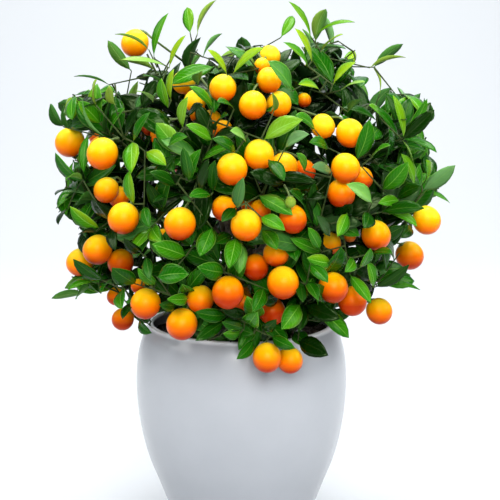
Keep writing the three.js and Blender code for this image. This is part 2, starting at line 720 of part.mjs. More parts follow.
// Leaves: each sits on the nearest wood, on a twig of its own where that is some way off
function growLeaf(leaf) {
  for (const near of woodNear(leaf.root, TWIG_REACH)) {
    const owner = near.spray.owner;
    const direct = near.foot.distanceTo(leaf.root) < DIRECT_REACH;
    if (!direct && bendAt(near.foot, leaf.root, leaf.tip) < SHARPEST_BEND) {
      continue;
    }
    const grown = { ...leaf, root: direct ? near.foot : leaf.root };
    const balls = leafBalls(grown, owner);
    const twigBalls = direct ? [] : rodBalls([near.foot, leaf.root], TWIG_TIP_RADIUS, owner);
    if (isClear(balls, owner, near.foot) && isClear(twigBalls, owner, near.foot)) {
      if (!direct) {
        near.spray.wood.push({ a: near.foot, b: leaf.root });
        grown.twigFrom = near.foot;
      }
      near.spray.feet.push(near.foot);
      near.spray.shapes.push(blade(grown));
      placed.push(...balls, ...twigBalls);
      return true;
    }
  }
  return false;
}

// A leaf of the photograph: as long as it looks, or longer and leaning towards the eye
function seenLeaf([baseColumn, baseRow, tipColumn, tipRow, width], shift) {
  const line = sightLine(baseColumn, baseRow);
  const root = along(seenOnShell(baseColumn, baseRow, SEEN_LEAF_SHELL), line, shift);
  const scale = EYE.distanceTo(root) / FOCAL;
  const seenLength = scale * Math.hypot(tipColumn - baseColumn, tipRow - baseRow);
  const length = Math.max(seenLength, 0.5 * seenLength + 0.5 * LEAF_LENGTH);
  const lean = Math.sqrt(length * length - seenLength * seenLength);
  const tipLine = sightLine(tipColumn, tipRow);
  const tip = along(EYE, tipLine, EYE.distanceTo(root) - lean);
  const outward = root.clone().sub(CROWN).normalize();
  const face = along(along(outward, UP, 0.7), line, -0.6);
  return { root, tip, face, width: Math.max(11, scale * width) };
}

// The same leaf turned about the crown's axis
function turnedLeaf({ root, tip, face, width }, turn) {
  return {
    root: turnedPoint(root, turn),
    tip: turnedPoint(tip, turn),
    face: turnedDirection(face, turn),
    width,
  };
}

// Grows a leaf of the photograph, or its repeat, a little nearer or farther if it has to
function growSeenLeaf(row, turn) {
  return DEPTH_TRIES.some((shift) => {
    const leaf = seenLeaf(row, shift);
    return growLeaf(turn === 0 ? leaf : turnedLeaf(leaf, turn));
  });
}

SEEN_LEAVES.forEach((row) => growSeenLeaf(row, 0));
const repeatedLeaves = SEEN_LEAVES.filter((row) => seenLeaf(row, 0).root.y < FAR_SIDE_FROM);
FAR_LEAVES.forEach(([first, turn]) => {
  repeatedLeaves.filter((row, index) => index % FAR_STEP === first)
    .forEach((row) => growSeenLeaf(row, turn));
});

// A filling leaf on a shoot, a golden angle round from the one before
function growFillingLeaf(spray, index) {
  const place = spray.wood[SHOOT_STEPS - 1 - index % SHOOT_STEPS];
  const root = mix(place.a, place.b, 0.5);
  const forward = place.b.clone().sub(place.a).normalize();
  const sideways = anySideways(forward);
  return TURN_TRIES.some((extra) => {
    const heading = sideways.clone().applyAxisAngle(forward, index * GOLDEN_ANGLE + extra);
    const direction = along(heading.multiplyScalar(0.8), forward, 0.6).normalize();
    const outward = root.clone().sub(CROWN).normalize();
    const face = along(outward, UP, 0.9);
    const tip = along(root, direction, LEAF_LENGTH);
    return growLeaf({ root, tip, face, width: LEAF_WIDTH });
  });
}

for (let index = 0; index < FILL_LEAVES; index += 1) {
  sprays.forEach((spray) => growFillingLeaf(spray, index));
}

// Moves a bunch's seat along its stem until only the gap is left between it and its shoot
function seatBunch(bunch) {
  const [seat, fork] = bunch.stem;
  for (let round = 0; round < SEATING_ROUNDS; round += 1) {
    const apart = bunch.spray.body.minGap(bodyOf(bunchShapes(bunch)), SEATING_REACH);
    seat.addScaledVector(fork.clone().sub(seat).normalize(), GAP - apart);
  }
}

sprays.forEach((spray) => {
  spray.body = bodyOf(spray.shapes);
});
bunches.forEach(seatBunch);

const limbShapes = limbs.map((limb) => rod(limb, 2, LIMB_RADIUS, SEAT_RADIUS, 4));
const bonsai = new THREE.Group();
bonsai.add(meshOf('pot', 'pot', bodyOf([potShape()])));
bonsai.add(meshOf('soil', 'soil', bodyOf([soilShape()])));
bonsai.add(meshOf('trunk', 'trunk', bodyOf([...trunkShapes(), ...limbShapes])));
sprays.forEach(({ owner, body }) => bonsai.add(meshOf(owner, 'spray', body)));
bunches.forEach((bunch) => bonsai.add(meshOf(bunch.owner, 'fruit', bodyOf(bunchShapes(bunch)))));

export default bonsai;
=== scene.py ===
# A kumquat bonsai in a glazed jar pot, dressed for its portrait. Lengths in the rules below are
# in millimetres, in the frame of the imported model, and are divided by 1000 as meshes are made.
import json
import math

import bpy
import numpy as np
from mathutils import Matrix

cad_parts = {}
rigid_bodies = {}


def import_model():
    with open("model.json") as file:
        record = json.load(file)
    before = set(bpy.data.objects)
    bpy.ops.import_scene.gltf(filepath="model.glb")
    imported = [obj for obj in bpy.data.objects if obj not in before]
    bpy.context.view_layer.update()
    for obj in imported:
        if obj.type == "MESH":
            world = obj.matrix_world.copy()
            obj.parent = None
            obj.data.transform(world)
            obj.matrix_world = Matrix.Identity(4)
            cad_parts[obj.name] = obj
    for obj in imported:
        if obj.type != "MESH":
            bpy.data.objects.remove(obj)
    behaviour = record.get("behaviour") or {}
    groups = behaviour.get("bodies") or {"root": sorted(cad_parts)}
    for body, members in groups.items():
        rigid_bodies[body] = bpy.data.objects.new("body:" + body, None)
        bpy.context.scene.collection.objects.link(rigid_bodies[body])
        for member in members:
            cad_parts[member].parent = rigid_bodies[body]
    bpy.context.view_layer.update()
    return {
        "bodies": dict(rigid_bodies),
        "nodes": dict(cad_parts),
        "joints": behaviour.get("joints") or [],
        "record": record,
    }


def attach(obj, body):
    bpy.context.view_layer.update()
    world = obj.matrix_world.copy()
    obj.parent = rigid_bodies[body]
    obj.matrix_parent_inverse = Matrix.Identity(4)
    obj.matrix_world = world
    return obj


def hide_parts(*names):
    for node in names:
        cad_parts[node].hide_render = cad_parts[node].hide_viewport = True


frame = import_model()

# Camera: a little above the crown, looking down on it, with a long lens. The picture that the
# plant was measured on is 500 steps wide and high, and the focal length is in the same steps, so
# the camera's sight lines also say where fruits and leaves lie.
EYE = np.array([9.0, -1500.0, 575.0])
DOWNWARD = math.radians(10.1)
FOCAL = 1464.0
PICTURE = 500.0
MIDDLE = PICTURE / 2
SENSOR = 36.0
SEES_TO_METRES = 20.0

camera_data = bpy.data.cameras.new("portrait_camera")
camera_data.sensor_width = SENSOR
camera_data.lens = SENSOR * FOCAL / PICTURE
camera_data.clip_end = SEES_TO_METRES
camera = bpy.data.objects.new("portrait_camera", camera_data)
camera.location = EYE / 1000
camera.rotation_euler = (math.pi / 2 - DOWNWARD, 0, 0)
bpy.context.scene.collection.objects.link(camera)
bpy.context.scene.camera = camera
bpy.context.scene.view_settings.view_transform = "Standard"

# Glazed pot: a thrown stoneware jar with a drawn-in neck and a rounded lip, white glaze inside
# and out, with a painted highlight that whitens the lip. The wall is turned from the profile of
# [radius, height] below.
POT_OUTSIDE = np.array([
    [60, 0], [65, 8], [77.6, 36], [88.5, 64], [98.5, 90], [105.5, 118],
    [109.4, 146], [110.5, 172], [108.5, 198], [103.5, 218], [98, 230]])
POT_FOOT = [[0.5, 2], [50, 2], [54, 0]]
POT_WALL = 6.0
POT_FLOOR = 12.0
FLOOR_FILLET = 2.0
RIM_ROUND = 3.0
POT_SIDES = 144
POT_STEPS = 6
GLAZE_TONES = ((0.35, 0.367, 0.396), (0.385, 0.402, 0.431))
# Painted highlight: the colour and height band, in metres, that paint the lip near white.
LIP_PAINTED_HIGHLIGHT = (0.92, 0.93, 0.95)
LIP_HIGHLIGHT_METRES = (0.2285, 0.2325)


def smooth_path(points, steps):
    """Catmull-Rom curve through the points: each stretch blends its two ends and the slopes there,
    which are half the way between the neighbours. Returns steps samples for each stretch."""
    padded = np.vstack([2 * points[0] - points[1], points, 2 * points[-1] - points[-2]])
    t = np.linspace(0, 1, steps, endpoint=False)[:, None]
    stretches = []
    for a, b, c, d in zip(padded, padded[1:], padded[2:], padded[3:]):
        stretches.append(0.5 * (2 * b + (c - a) * t + (2 * a - 5 * b + 4 * c - d) * t**2
                                + (3 * b - a - 3 * c + d) * t**3))
    return np.vstack([*stretches, points[-1:]])


def grid_faces(rows, columns, closed):
    """Quads between the points of a grid that is stored row by row. Closed grids join the last
    column to the first."""
    r = np.arange(rows - 1)[:, None]
    c = np.arange(columns if closed else columns - 1)[None, :]
    n = (c + 1) % columns
    return np.stack([r * columns + c, r * columns + n, (r + 1) * columns + n,
                     (r + 1) * columns + c], axis=-1).reshape(-1, 4)


def new_piece(name, points, quads, caps=(), smooth=True):
    """A mesh object at the origin from points in millimetres, quads and end caps."""
    mesh = bpy.data.meshes.new(name)
    mesh.from_pydata((points / 1000).tolist(), [], quads.tolist() + [list(cap) for cap in caps])
    mesh.polygons.foreach_set("use_smooth", np.full(len(mesh.polygons), smooth))
    mesh.update()
    piece = bpy.data.objects.new(name, mesh)
    bpy.context.scene.collection.objects.link(piece)
    return piece


def add_node(tree, kind, place=(0, 0), **values):
    """A shader node with values for its properties or input sockets, by name."""
    node = tree.nodes.new(kind)
    node.location = place
    for name, value in values.items():
        if hasattr(node, name):
            setattr(node, name, value)
        else:
            node.inputs[name.replace("_", " ")].default_value = value
    return node


def new_finish(name, **sockets):
    """A material with one Principled BSDF whose sockets take the given constants, each named with
    underscores for spaces. Returns the material, its tree and the shader."""
    material = bpy.data.materials.new(name)
    material.use_nodes = True
    shader = material.node_tree.nodes["Principled BSDF"]
    for socket, value in sockets.items():
        shader.inputs[socket.replace("_", " ")].default_value = value
    return material, material.node_tree, shader


def feed(tree, socket, value):
    """Links another node's output to a socket, or sets a number or a colour of three parts."""
    if isinstance(value, bpy.types.NodeSocket):
        tree.links.new(value, socket)
    else:
        socket.default_value = (*value, 1) if isinstance(value, tuple) else value


def blended(tree, place, factor, low, high):
    """The colour of a Mix node: low where its factor is zero, high where it is one."""
    node = add_node(tree, "ShaderNodeMix", place, data_type="RGBA")
    for index, value in ((0, factor), (6, low), (7, high)):
        feed(tree, node.inputs[index], value)
    return node.outputs[2]


def mottle_group():
    """Noise that blends two colours: low tones where the noise is low, high where it is high."""
    group = bpy.data.node_groups.new("mottle", "ShaderNodeTree")
    face = group.interface
    face.new_socket("Vector", in_out="INPUT", socket_type="NodeSocketVector")
    face.new_socket("Scale", in_out="INPUT", socket_type="NodeSocketFloat")
    face.new_socket("Low", in_out="INPUT", socket_type="NodeSocketColor")
    face.new_socket("High", in_out="INPUT", socket_type="NodeSocketColor")
    face.new_socket("Color", in_out="OUTPUT", socket_type="NodeSocketColor")
    face.new_socket("Height", in_out="OUTPUT", socket_type="NodeSocketFloat")
    start = add_node(group, "NodeGroupInput", (-600, 0))
    noise = add_node(group, "ShaderNodeTexNoise", (-400, 0), Detail=6.0, Roughness=0.6)
    spread = add_node(group, "ShaderNodeMapRange", (-200, 0), From_Min=0.3, From_Max=0.7)
    end = add_node(group, "NodeGroupOutput", (200, 0))
    link = group.links.new
    link(start.outputs["Vector"], noise.inputs["Vector"])
    link(start.outputs["Scale"], noise.inputs["Scale"])
    link(noise.outputs["Fac"], spread.inputs["Value"])
    link(blended(group, (0, 0), spread.outputs["Result"], start.outputs["Low"],
                 start.outputs["High"]), end.inputs["Color"])
    link(noise.outputs["Fac"], end.inputs["Height"])
    return group


mottle = mottle_group()


def add_mottle(tree, vector, scale, low, high):
    """The mottle group in a material's tree, reading a vector output."""
    node = add_node(tree, "ShaderNodeGroup", (-400, 0), node_tree=mottle)
    for name, value in (("Vector", vector), ("Scale", scale), ("Low", low), ("High", high)):
        feed(tree, node.inputs[name], value)
    return node


def add_bump(tree, shader, height, strength, distance):
    """Sends a height through a Bump node to the shader's normal. Distance is in metres."""
    bump = add_node(tree, "ShaderNodeBump", (-200, -300), Strength=strength, Distance=distance)
    tree.links.new(height, bump.inputs["Height"])
    tree.links.new(bump.outputs["Normal"], shader.inputs["Normal"])
    return bump


def turned_wall(profile, sides):
    """Profile of [radius, height] turned about the upright axis: each row of the grid is the
    profile's radius times the cosine and sine of the turn."""
    turn = np.linspace(0, 2 * math.pi, sides, endpoint=False)
    radius, height = profile[:, :1], profile[:, 1:]
    return np.stack([radius * np.cos(turn), radius * np.sin(turn),
                     np.broadcast_to(height, (len(profile), sides))], axis=-1).reshape(-1, 3)


pot_outer = smooth_path(POT_OUTSIDE, POT_STEPS)
lip_turn = np.linspace(0.1, 0.9, 9)[:, None] * math.pi
pot_lip = POT_OUTSIDE[-1] + np.hstack([POT_WALL / 2 * (np.cos(lip_turn) - 1),
                                       RIM_ROUND * np.sin(lip_turn)])
pot_inner = pot_outer[pot_outer[:, 1] > POT_FLOOR][::-1] - [POT_WALL, 0]
pot_profile = np.vstack([
    POT_FOOT, pot_outer, pot_lip, pot_inner,
    [[pot_inner[-1, 0] - FLOOR_FILLET, POT_FLOOR], [POT_FOOT[0][0], POT_FLOOR]]])
pot_rows = len(pot_profile)
pot = new_piece(
    "glazed_pot", turned_wall(pot_profile, POT_SIDES), grid_faces(pot_rows, POT_SIDES, True),
    [range(POT_SIDES - 1, -1, -1), range((pot_rows - 1) * POT_SIDES, pot_rows * POT_SIDES)])

glaze, tree, shader = new_finish("white_glaze", Roughness=0.42, IOR=1.5, Coat_Weight=0.8,
                                 Coat_Roughness=0.2)
coords = add_node(tree, "ShaderNodeTexCoord", (-900, 0)).outputs["Object"]
tone = add_mottle(tree, coords, 9.0, *GLAZE_TONES)
parted = add_node(tree, "ShaderNodeSeparateXYZ", (-700, 300))
lip_highlight_band = add_node(tree, "ShaderNodeMapRange", (-500, 300), From_Min=LIP_HIGHLIGHT_METRES[0],
                      From_Max=LIP_HIGHLIGHT_METRES[1])
tree.links.new(coords, parted.inputs["Vector"])
tree.links.new(parted.outputs["Z"], lip_highlight_band.inputs["Value"])
# The lip's height band is blended to a near-white painted highlight.
feed(tree, shader.inputs["Base Color"],
     blended(tree, (-200, 200), lip_highlight_band.outputs["Result"], tone.outputs["Color"], LIP_PAINTED_HIGHLIGHT))
ripple = add_mottle(tree, coords, 38.0, (0, 0, 0), (1, 1, 1))
add_bump(tree, shader, ripple.outputs["Height"], 0.12, 0.0008)
pot.data.materials.append(glaze)
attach(pot, "root")
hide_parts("pot")

# Soil: dark, moist potting mix that fills the pot to a finger's width under the lip. The filling
# is the solid of the model; loose crumbs lie on it and against the trunk.
SOIL_TOP = 219.0
SOIL_TONES = ((0.012, 0.008, 0.006), (0.07, 0.048, 0.034))
CRUMB_COUNT = 900
CRUMB_RINGS = 4
CRUMB_SIDES = 6
CRUMB_SIZE = (1.2, 3.4)
CRUMB_FLATTEST = 0.6
CRUMB_ROUGHNESS = (0.75, 1.2)
CRUMBS_FROM = 12.5
CRUMBS_SPREAD = 81.0
CRUMB_LOWEST = 0.6
CRUMB_HIGHEST = 0.9
chance = np.random.default_rng(41)


def mottled_finish(name, scale, low, high, dent, depth, stretch=None, **sockets):
    """A finish whose colour is the mottle from low to high on Object coordinates, and whose
    surface is dented by the mottle's height. Stretch scales the pattern each way."""
    material, tree, shader = new_finish(name, **sockets)
    coords = add_node(tree, "ShaderNodeTexCoord", (-1100, 0)).outputs["Object"]
    if stretch:
        scaling = add_node(tree, "ShaderNodeMapping", (-900, 0), Scale=stretch)
        tree.links.new(coords, scaling.inputs["Vector"])
        coords = scaling.outputs["Vector"]
    tone = add_mottle(tree, coords, scale, low, high)
    tree.links.new(tone.outputs["Color"], shader.inputs["Base Color"])
    add_bump(tree, shader, tone.outputs["Height"], dent, depth)
    return material


earth = mottled_finish("moist_soil", 260.0, *SOIL_TONES, 0.9, 0.0015, Roughness=0.92)
soil = frame["nodes"]["soil"]
for place in soil.material_slots:
    place.material = earth


def crumb_shapes(centres, sizes):
    """Rough lumps of four rings of six: each point is its centre plus a ball's point times the
    lump's size and a random factor near one."""
    rows, sides = CRUMB_RINGS, CRUMB_SIDES
    down = np.linspace(0.12, 0.88, rows)[:, None] * math.pi
    turn = np.linspace(0, 2 * math.pi, sides, endpoint=False)[None, :]
    ball = np.stack([np.sin(down) * np.cos(turn), np.sin(down) * np.sin(turn),
                     np.broadcast_to(np.cos(down), (rows, sides))], axis=-1).reshape(-1, 3)
    rough = chance.uniform(*CRUMB_ROUGHNESS, (len(centres), rows * sides, 1))
    points = centres[:, None, :] + ball * rough * sizes[:, None, :]
    quads = grid_faces(rows, sides, True)[:, ::-1]
    starts = np.arange(len(centres))[:, None, None] * rows * sides
    caps = np.array([list(range(sides)), list(range(rows * sides - 1, (rows - 1) * sides - 1, -1))])
    return points.reshape(-1, 3), (quads + starts).reshape(-1, 4), (caps + starts).reshape(-1, sides)


crumb_reach = CRUMBS_FROM + CRUMBS_SPREAD * np.sqrt(chance.uniform(0, 1, CRUMB_COUNT))
crumb_turn = chance.uniform(0, 2 * math.pi, CRUMB_COUNT)
crumb_heights = chance.uniform(SOIL_TOP - CRUMB_LOWEST, SOIL_TOP + CRUMB_HIGHEST, CRUMB_COUNT)
crumb_centres = np.stack([crumb_reach * np.cos(crumb_turn), crumb_reach * np.sin(crumb_turn),
                          crumb_heights], axis=-1)
crumb_sizes = chance.uniform(*CRUMB_SIZE, (CRUMB_COUNT, 1))
crumb_sizes = crumb_sizes * chance.uniform(CRUMB_FLATTEST, 1, (CRUMB_COUNT, 3))
crumbs = new_piece("soil_crumbs", *crumb_shapes(crumb_centres, crumb_sizes), smooth=False)
crumbs.data.materials.append(earth)
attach(crumbs, "root")

# Floor and light: a plain pale floor that curves up far behind the plant. A broad soft lamp
# stands high before the plant and a weak one low, one shines on it from each side and one from
# overhead, and the last lights the backdrop.
FLOOR_FRONT = -3000.0
FLOOR_BEND = 1600.0
BEND_RADIUS = 2400.0
BEND_STEPS = 33
BACKDROP_TOP = 5000.0
FLOOR_HALF = 6000.0
FLOOR_LINES = 9
PAPER_TONE = (0.525, 0.55, 0.575, 1)
SURROUND_TONE = (0.95, 0.97, 1.0, 1)
SURROUND_STRENGTH = 0.09
MID_PLANT = (0, 0, 0.35)
MID_BACKDROP = (0, 3.4, 0.6)
# Each lamp's place, the width of its square and its target in metres, and its power in watts.
LAMPS = {
  "key_lamp": [(0.2, -1.9, 1.5), 1.2, MID_PLANT, 54],
  "low_lamp": [(0.1, -2.2, 0.2), 1.4, MID_PLANT, 7],
  "left_lamp": [(-1.8, -0.3, 1.6), 1.4, MID_PLANT, 27],
  "right_lamp": [(1.8, -0.3, 1.6), 1.4, MID_PLANT, 30],
  "top_lamp": [(0.0, 0.0, 2.3), 1.2, MID_PLANT, 30],
  "backdrop_lamp": [(0.0, 1.5, 3.2), 2.4, MID_BACKDROP, 132],
}
bend_turn = np.linspace(0, math.pi / 2, BEND_STEPS)
floor_line = np.vstack([
    [[FLOOR_FRONT, 0]],
    np.stack([FLOOR_BEND + BEND_RADIUS * np.sin(bend_turn),
              BEND_RADIUS * (1 - np.cos(bend_turn))], axis=-1),
    [[FLOOR_BEND + BEND_RADIUS, BACKDROP_TOP]]])
across, along = np.meshgrid(np.linspace(-FLOOR_HALF, FLOOR_HALF, FLOOR_LINES),
                            np.arange(len(floor_line)))
floor_points = np.stack([across, floor_line[along, 0], floor_line[along, 1]], axis=-1)
floor = new_piece("pale_floor", floor_points.reshape(-1, 3),
                  grid_faces(len(floor_line), FLOOR_LINES, False))
paper, tree, shader = new_finish("pale_paper", Roughness=0.9, Base_Color=PAPER_TONE)
floor.data.materials.append(paper)


def add_lamp(name, place, size, target, power):
    """A square soft lamp, turned to its target."""
    data = bpy.data.lights.new(name, "AREA")
    data.shape = "SQUARE"
    data.size = size
    data.energy = power
    lamp = bpy.data.objects.new(name, data)
    lamp.location = place
    toward = np.array(target) - np.array(place)
    level = math.hypot(toward[0], toward[1])
    lamp.rotation_euler = (math.atan2(level, -toward[2]), 0, math.atan2(-toward[0], toward[1]))
    bpy.context.scene.collection.objects.link(lamp)


for name, values in LAMPS.items():
    add_lamp(name, *values)
world = bpy.data.worlds.new("soft_surround")
world.use_nodes = True
world.node_tree.nodes["Background"].inputs["Color"].default_value = SURROUND_TONE
world.node_tree.nodes["Background"].inputs["Strength"].default_value = SURROUND_STRENGTH
bpy.context.scene.world = world

# Crown: the shape that all fruits, shoots and leaves keep to, an oval ball over the pot that is
# wider than deep. What is placed is kept as covering balls, so that pieces pass each other.
CROWN = np.array([9.0, 0.0, 386.0])
CROWN_RADII = np.array([205.0, 172.0, 168.0])
CROWN_DROP = 235.0
NEAREST = 1250
FARTHEST = 1700
FAR_SQUEEZE = 0.93
CLEARANCE = 0.9
POT_CLEARANCE = 2.0
FOOT_FREE = 9.0
NEAR_ENOUGH = 5.0
ROD_STEP = 3.0
MOST_BALLS = 60000
UP = np.array([0.0, 0.0, 1.0])


def unit(vector):
    """The vector, or each row of vectors, divided by its length."""
    return vector / np.linalg.norm(vector, axis=-1, keepdims=True)


def sight_line(column, row):
    """The direction from the eye through a column and row: ahead, plus the offsets over the focal
    length, turned down by the camera's tilt."""
    aside = (column - MIDDLE) / FOCAL
    down = (row - MIDDLE) / FOCAL
    return unit(np.array([
        aside,
        math.cos(DOWNWARD) - down * math.sin(DOWNWARD),
        -math.sin(DOWNWARD) - down * math.cos(DOWNWARD),
    ]))


def shell_of(points):
    """How far out points lie in the crown: the length of their offset from its centre, each part
    divided by the crown's radius that way, the upright part by another one below the centre."""
    offset = points - CROWN
    tall = np.where(offset[..., 2] > 0, CROWN_RADII[2], CROWN_DROP)
    return np.sqrt((offset[..., 0] / CROWN_RADII[0])**2 + (offset[..., 1] / CROWN_RADII[1])**2
                   + (offset[..., 2] / tall)**2)


def seen_on_shell(column, row, shell):
    """The first point of a sight line that lies no farther out than shell, in millimetre steps,
    or else its point nearest to the crown's centre."""
    points = EYE + sight_line(column, row) * np.arange(NEAREST, FARTHEST)[:, None]
    out = shell_of(points)
    inside = out <= shell
    return points[np.argmax(inside) if inside.any() else np.argmin(out)]


def turned_direction(direction, turn):
    """The direction turned by degrees about the upright axis."""
    c, s = math.cos(math.radians(turn)), math.sin(math.radians(turn))
    x, y, z = direction
    return np.array([c * x - s * y, s * x + c * y, z])


def turned_point(point, turn):
    """The point turned about the crown's axis along its oval, and drawn in from the sides."""
    moved = turned_direction((point - CROWN) / CROWN_RADII, turn) * CROWN_RADII
    return moved * [FAR_SQUEEZE, 1, 1] + CROWN


class Placed:
    """All covering balls so far: their centres, radii and the number of the piece they are in."""

    def __init__(self, room):
        self.centres = np.zeros((room, 3))
        self.radii = np.zeros(room)
        self.owners = np.zeros(room, dtype=int)
        self.count = 0

    def add(self, centres, radii, owner):
        """Adds balls of one owner."""
        end = self.count + len(centres)
        self.centres[self.count:end] = centres
        self.radii[self.count:end] = radii
        self.owners[self.count:end] = owner
        self.count = end


placed = Placed(MOST_BALLS)


def clear_of_pot(centres, radii):
    """Balls outside the pot's wall, above its rim, or inside its neck over the soil."""
    reach = radii + POT_CLEARANCE
    out = np.hypot(centres[:, 0], centres[:, 1])
    height = centres[:, 2]
    wall = np.interp(height, POT_OUTSIDE[:, 1], POT_OUTSIDE[:, 0], left=0, right=0)
    neck = POT_OUTSIDE[-1, 0] - POT_WALL
    return ((height > POT_OUTSIDE[-1, 1] + RIM_ROUND + reach) | (out > wall + reach)
            | ((height > SOIL_TOP + reach) & (out < neck - reach)))


def is_clear(centres, radii, owner, foot=None):
    """True if no ball comes near the pot or what is placed. Pieces of one owner may meet within
    reach of the foot where the new one leaves the wood."""
    if len(centres) == 0:
        return True
    if not clear_of_pot(centres, radii).all():
        return False
    middle = centres[len(centres) // 2]
    span = np.linalg.norm(centres - middle, axis=1).max()
    others = placed.centres[:placed.count]
    other_radii = placed.radii[:placed.count]
    near = np.linalg.norm(others - middle, axis=1) < span + other_radii + NEAR_ENOUGH
    others, other_radii = others[near], other_radii[near]
    own = placed.owners[:placed.count][near] == owner
    apart = np.linalg.norm(centres[:, None, :] - others[None, :, :], axis=2)
    far_enough = apart > radii[:, None] + other_radii[None, :] + CLEARANCE
    if foot is None:
        return bool((far_enough | own[None, :]).all())
    by_foot = np.linalg.norm(centres - foot, axis=1) < FOOT_FREE
    other_by_foot = np.linalg.norm(others - foot, axis=1) < FOOT_FREE
    allowed = own[None, :] & (by_foot[:, None] | other_by_foot[None, :])
    return bool((far_enough | allowed).all())


def rod_centres(points):
    """Points along a path, no more than a step apart: for each stretch, an even row from end to
    end."""
    rows = []
    for start, end in zip(points, points[1:]):
        steps = max(1, math.ceil(math.dist(start, end) / ROD_STEP))
        rows.append(start + (end - start) * np.linspace(0, 1, steps + 1)[:, None])
    return np.vstack(rows)


def any_sideways(direction):
    """Some direction square to the given one: the cross product with up, or with +X where the
    given one is nearly upright."""
    helper = UP if abs(direction[2]) < 0.8 else np.array([1.0, 0.0, 0.0])
    return unit(np.cross(helper, direction))


def bend_at(start, middle, end):
    """The cosine of the turn that a path takes at its middle point."""
    return float(unit(middle - start) @ unit(end - middle))


# Fruit places: round kumquats in bunches, each given by the column and row where it is seen, its
# seen width and how far out in the crown it hangs. Some bunches repeat round the other sides.
BUNCHES = [
  [[135, 43, 27, 0.9]],
  [[70, 142, 29, 0.9]],
  [[102.5, 153.5, 31, 0.94]],
  [[152, 124, 23, 0.72], [162, 135, 23, 0.74]],
  [[123.5, 218, 31, 0.95], [106.5, 190, 25, 0.86], [119, 197, 21, 0.8], [81, 190, 19, 0.74]],
  [[97.5, 249.5, 29, 0.92], [120.5, 262, 26, 0.88], [80, 262, 27, 0.8]],
  [[145.6, 303.5, 30, 0.97], [123, 319, 22, 0.86]],
  [[180, 223.5, 32, 0.98]],
  [[182, 324, 31, 1.0], [200.5, 299, 27, 0.9]],
  [[227.8, 292.4, 32, 1.0], [243, 303, 22, 0.8]],
  [[267, 357.5, 29, 1.02], [290, 360, 26, 1.0]],
  [[283, 282.5, 32, 0.98], [276, 253, 26, 0.86], [255.6, 267, 26, 0.9], [272, 311, 27, 0.88]],
  [[293, 219, 28, 0.94]],
  [[246, 225, 31, 0.98], [224, 208, 25, 0.86], [260, 211, 22, 0.8]],
  [[232, 169, 31, 0.95], [223, 131, 21, 0.7]],
  [[259, 154.5, 30, 0.95], [284, 167, 28, 0.84], [304, 171, 23, 0.76]],
  [[253, 105, 28, 0.92], [279, 104, 25, 0.8], [269, 80, 25, 0.86], [270, 56, 21, 0.8]],
  [[223, 88, 27, 0.9], [195, 101, 22, 0.76], [211, 122, 24, 0.74], [184, 82, 23, 0.74]],
  [[350, 133, 28, 0.92], [323, 126, 24, 0.8]],
  [[345.5, 168, 29, 0.97], [341, 193.5, 28, 0.95], [362, 178, 22, 0.82]],
  [[376, 235, 29, 0.92], [330, 243, 22, 0.76]],
  [[426.5, 220, 28, 0.95]],
  [[352, 301, 29, 0.94], [333, 287.5, 30, 0.95], [379, 311, 26, 0.9]],
]
FAR_BUNCHES = [[4, 180], [8, 180], [13, 180], [17, 180], [19, 180], [9, 110], [15, -110]]
FIRST_BUNCH_OWNER = 1000
FRUIT_LENGTH_RATIO = 1.06
FRIEND_ROOM = 0.5
FRUIT_ROOM = CLEARANCE + 1
FRUIT_STEP = 2.0
STALK_END_INWARD = 0.62
STALK_END_UP = 0.78


def place_fruit(column, row, width, shell, friends):
    """A fruit on its sight line, moved to the eye in small steps until it is clear of the pot and
    away until it is clear of other fruits. Its stalk end points up and inward."""
    line = sight_line(column, row)
    centre = seen_on_shell(column, row, shell)
    radius = 0.5 * width * math.dist(EYE, centre) / FOCAL

    def meets(other):
        room = FRIEND_ROOM if any(other is friend for friend in friends) else FRUIT_ROOM
        return math.dist(centre, other["centre"]) < radius + other["radius"] + room

    while not clear_of_pot(centre[None, :], np.array([radius]))[0]:
        centre = centre - FRUIT_STEP * line
    while any(meets(other) for other in fruits):
        centre = centre + FRUIT_STEP * line
    inward = unit((CROWN - centre) * [1, 1, 0])
    return {"centre": centre, "radius": radius,
            "axis": unit(inward * STALK_END_INWARD + UP * STALK_END_UP)}


fruits = []
bunches = []
for rows in BUNCHES:
    members = []
    for row in rows:
        members.append(place_fruit(*row, members))
        fruits.append(members[-1])
    bunches.append({"members": members})
for which, turn in FAR_BUNCHES:
    members = [{"centre": turned_point(fruit["centre"], turn), "radius": fruit["radius"],
                "axis": turned_direction(fruit["axis"], turn)}
               for fruit in bunches[which]["members"]]
    fruits.extend(members)
    bunches.append({"members": members})
for number, bunch in enumerate(bunches):
    bunch["owner"] = FIRST_BUNCH_OWNER + number
    for fruit in bunch["members"]:
        placed.add([fruit["centre"]], fruit["radius"], bunch["owner"])

# Trunk and limbs: one grey-brown stem that stands in the soil and fans out at its head into bare
# limbs, each a little thicker than a pencil where it starts, which carry the leafy shoots on
# their ends.
TRUNK_FOOT = 152.0
FOOT_RADIUS = 11.2
TRUNK_WAIST = 11.6
ROOT_FLARE = 1.5
FLARE_HEIGHT = 7.0
HEAD_RADIUS = 8.5
HEAD_CAP = [[0.0, 0.97], [2.0, 0.8], [3.4, 0.4]]
TRUNK_SIDES = 28
TRUNK_RINGS = 26
BURIED_RINGS = 8
TRUNK_ROUGHNESS = 0.035
SWAY = np.array([3.0, 2.0, 255.0])
HEAD = np.array([0.0, 0.0, 292.0])
LIMB_RADIUS = 4.6
LIMB_SIDES = 12
LIMB_STEPS = 16
LIMB_ROUGHNESS = 0.05
LIMB_REACH = 0.44
LIMB_RISE = 10.0
LIMB_ARCH = 0.16
LIMB_HIGHEST = 6.0
LIMB_SPREAD = 40.0
LIMB_TURN = 0.618
SEAT_RADIUS = 2.7
STEM_TIP_RADIUS = 1.5
LIMB_BALL = 4.0
SHOOT_BALL = 2.2
GAP = 0.3
SHOOT_STEPS = 4
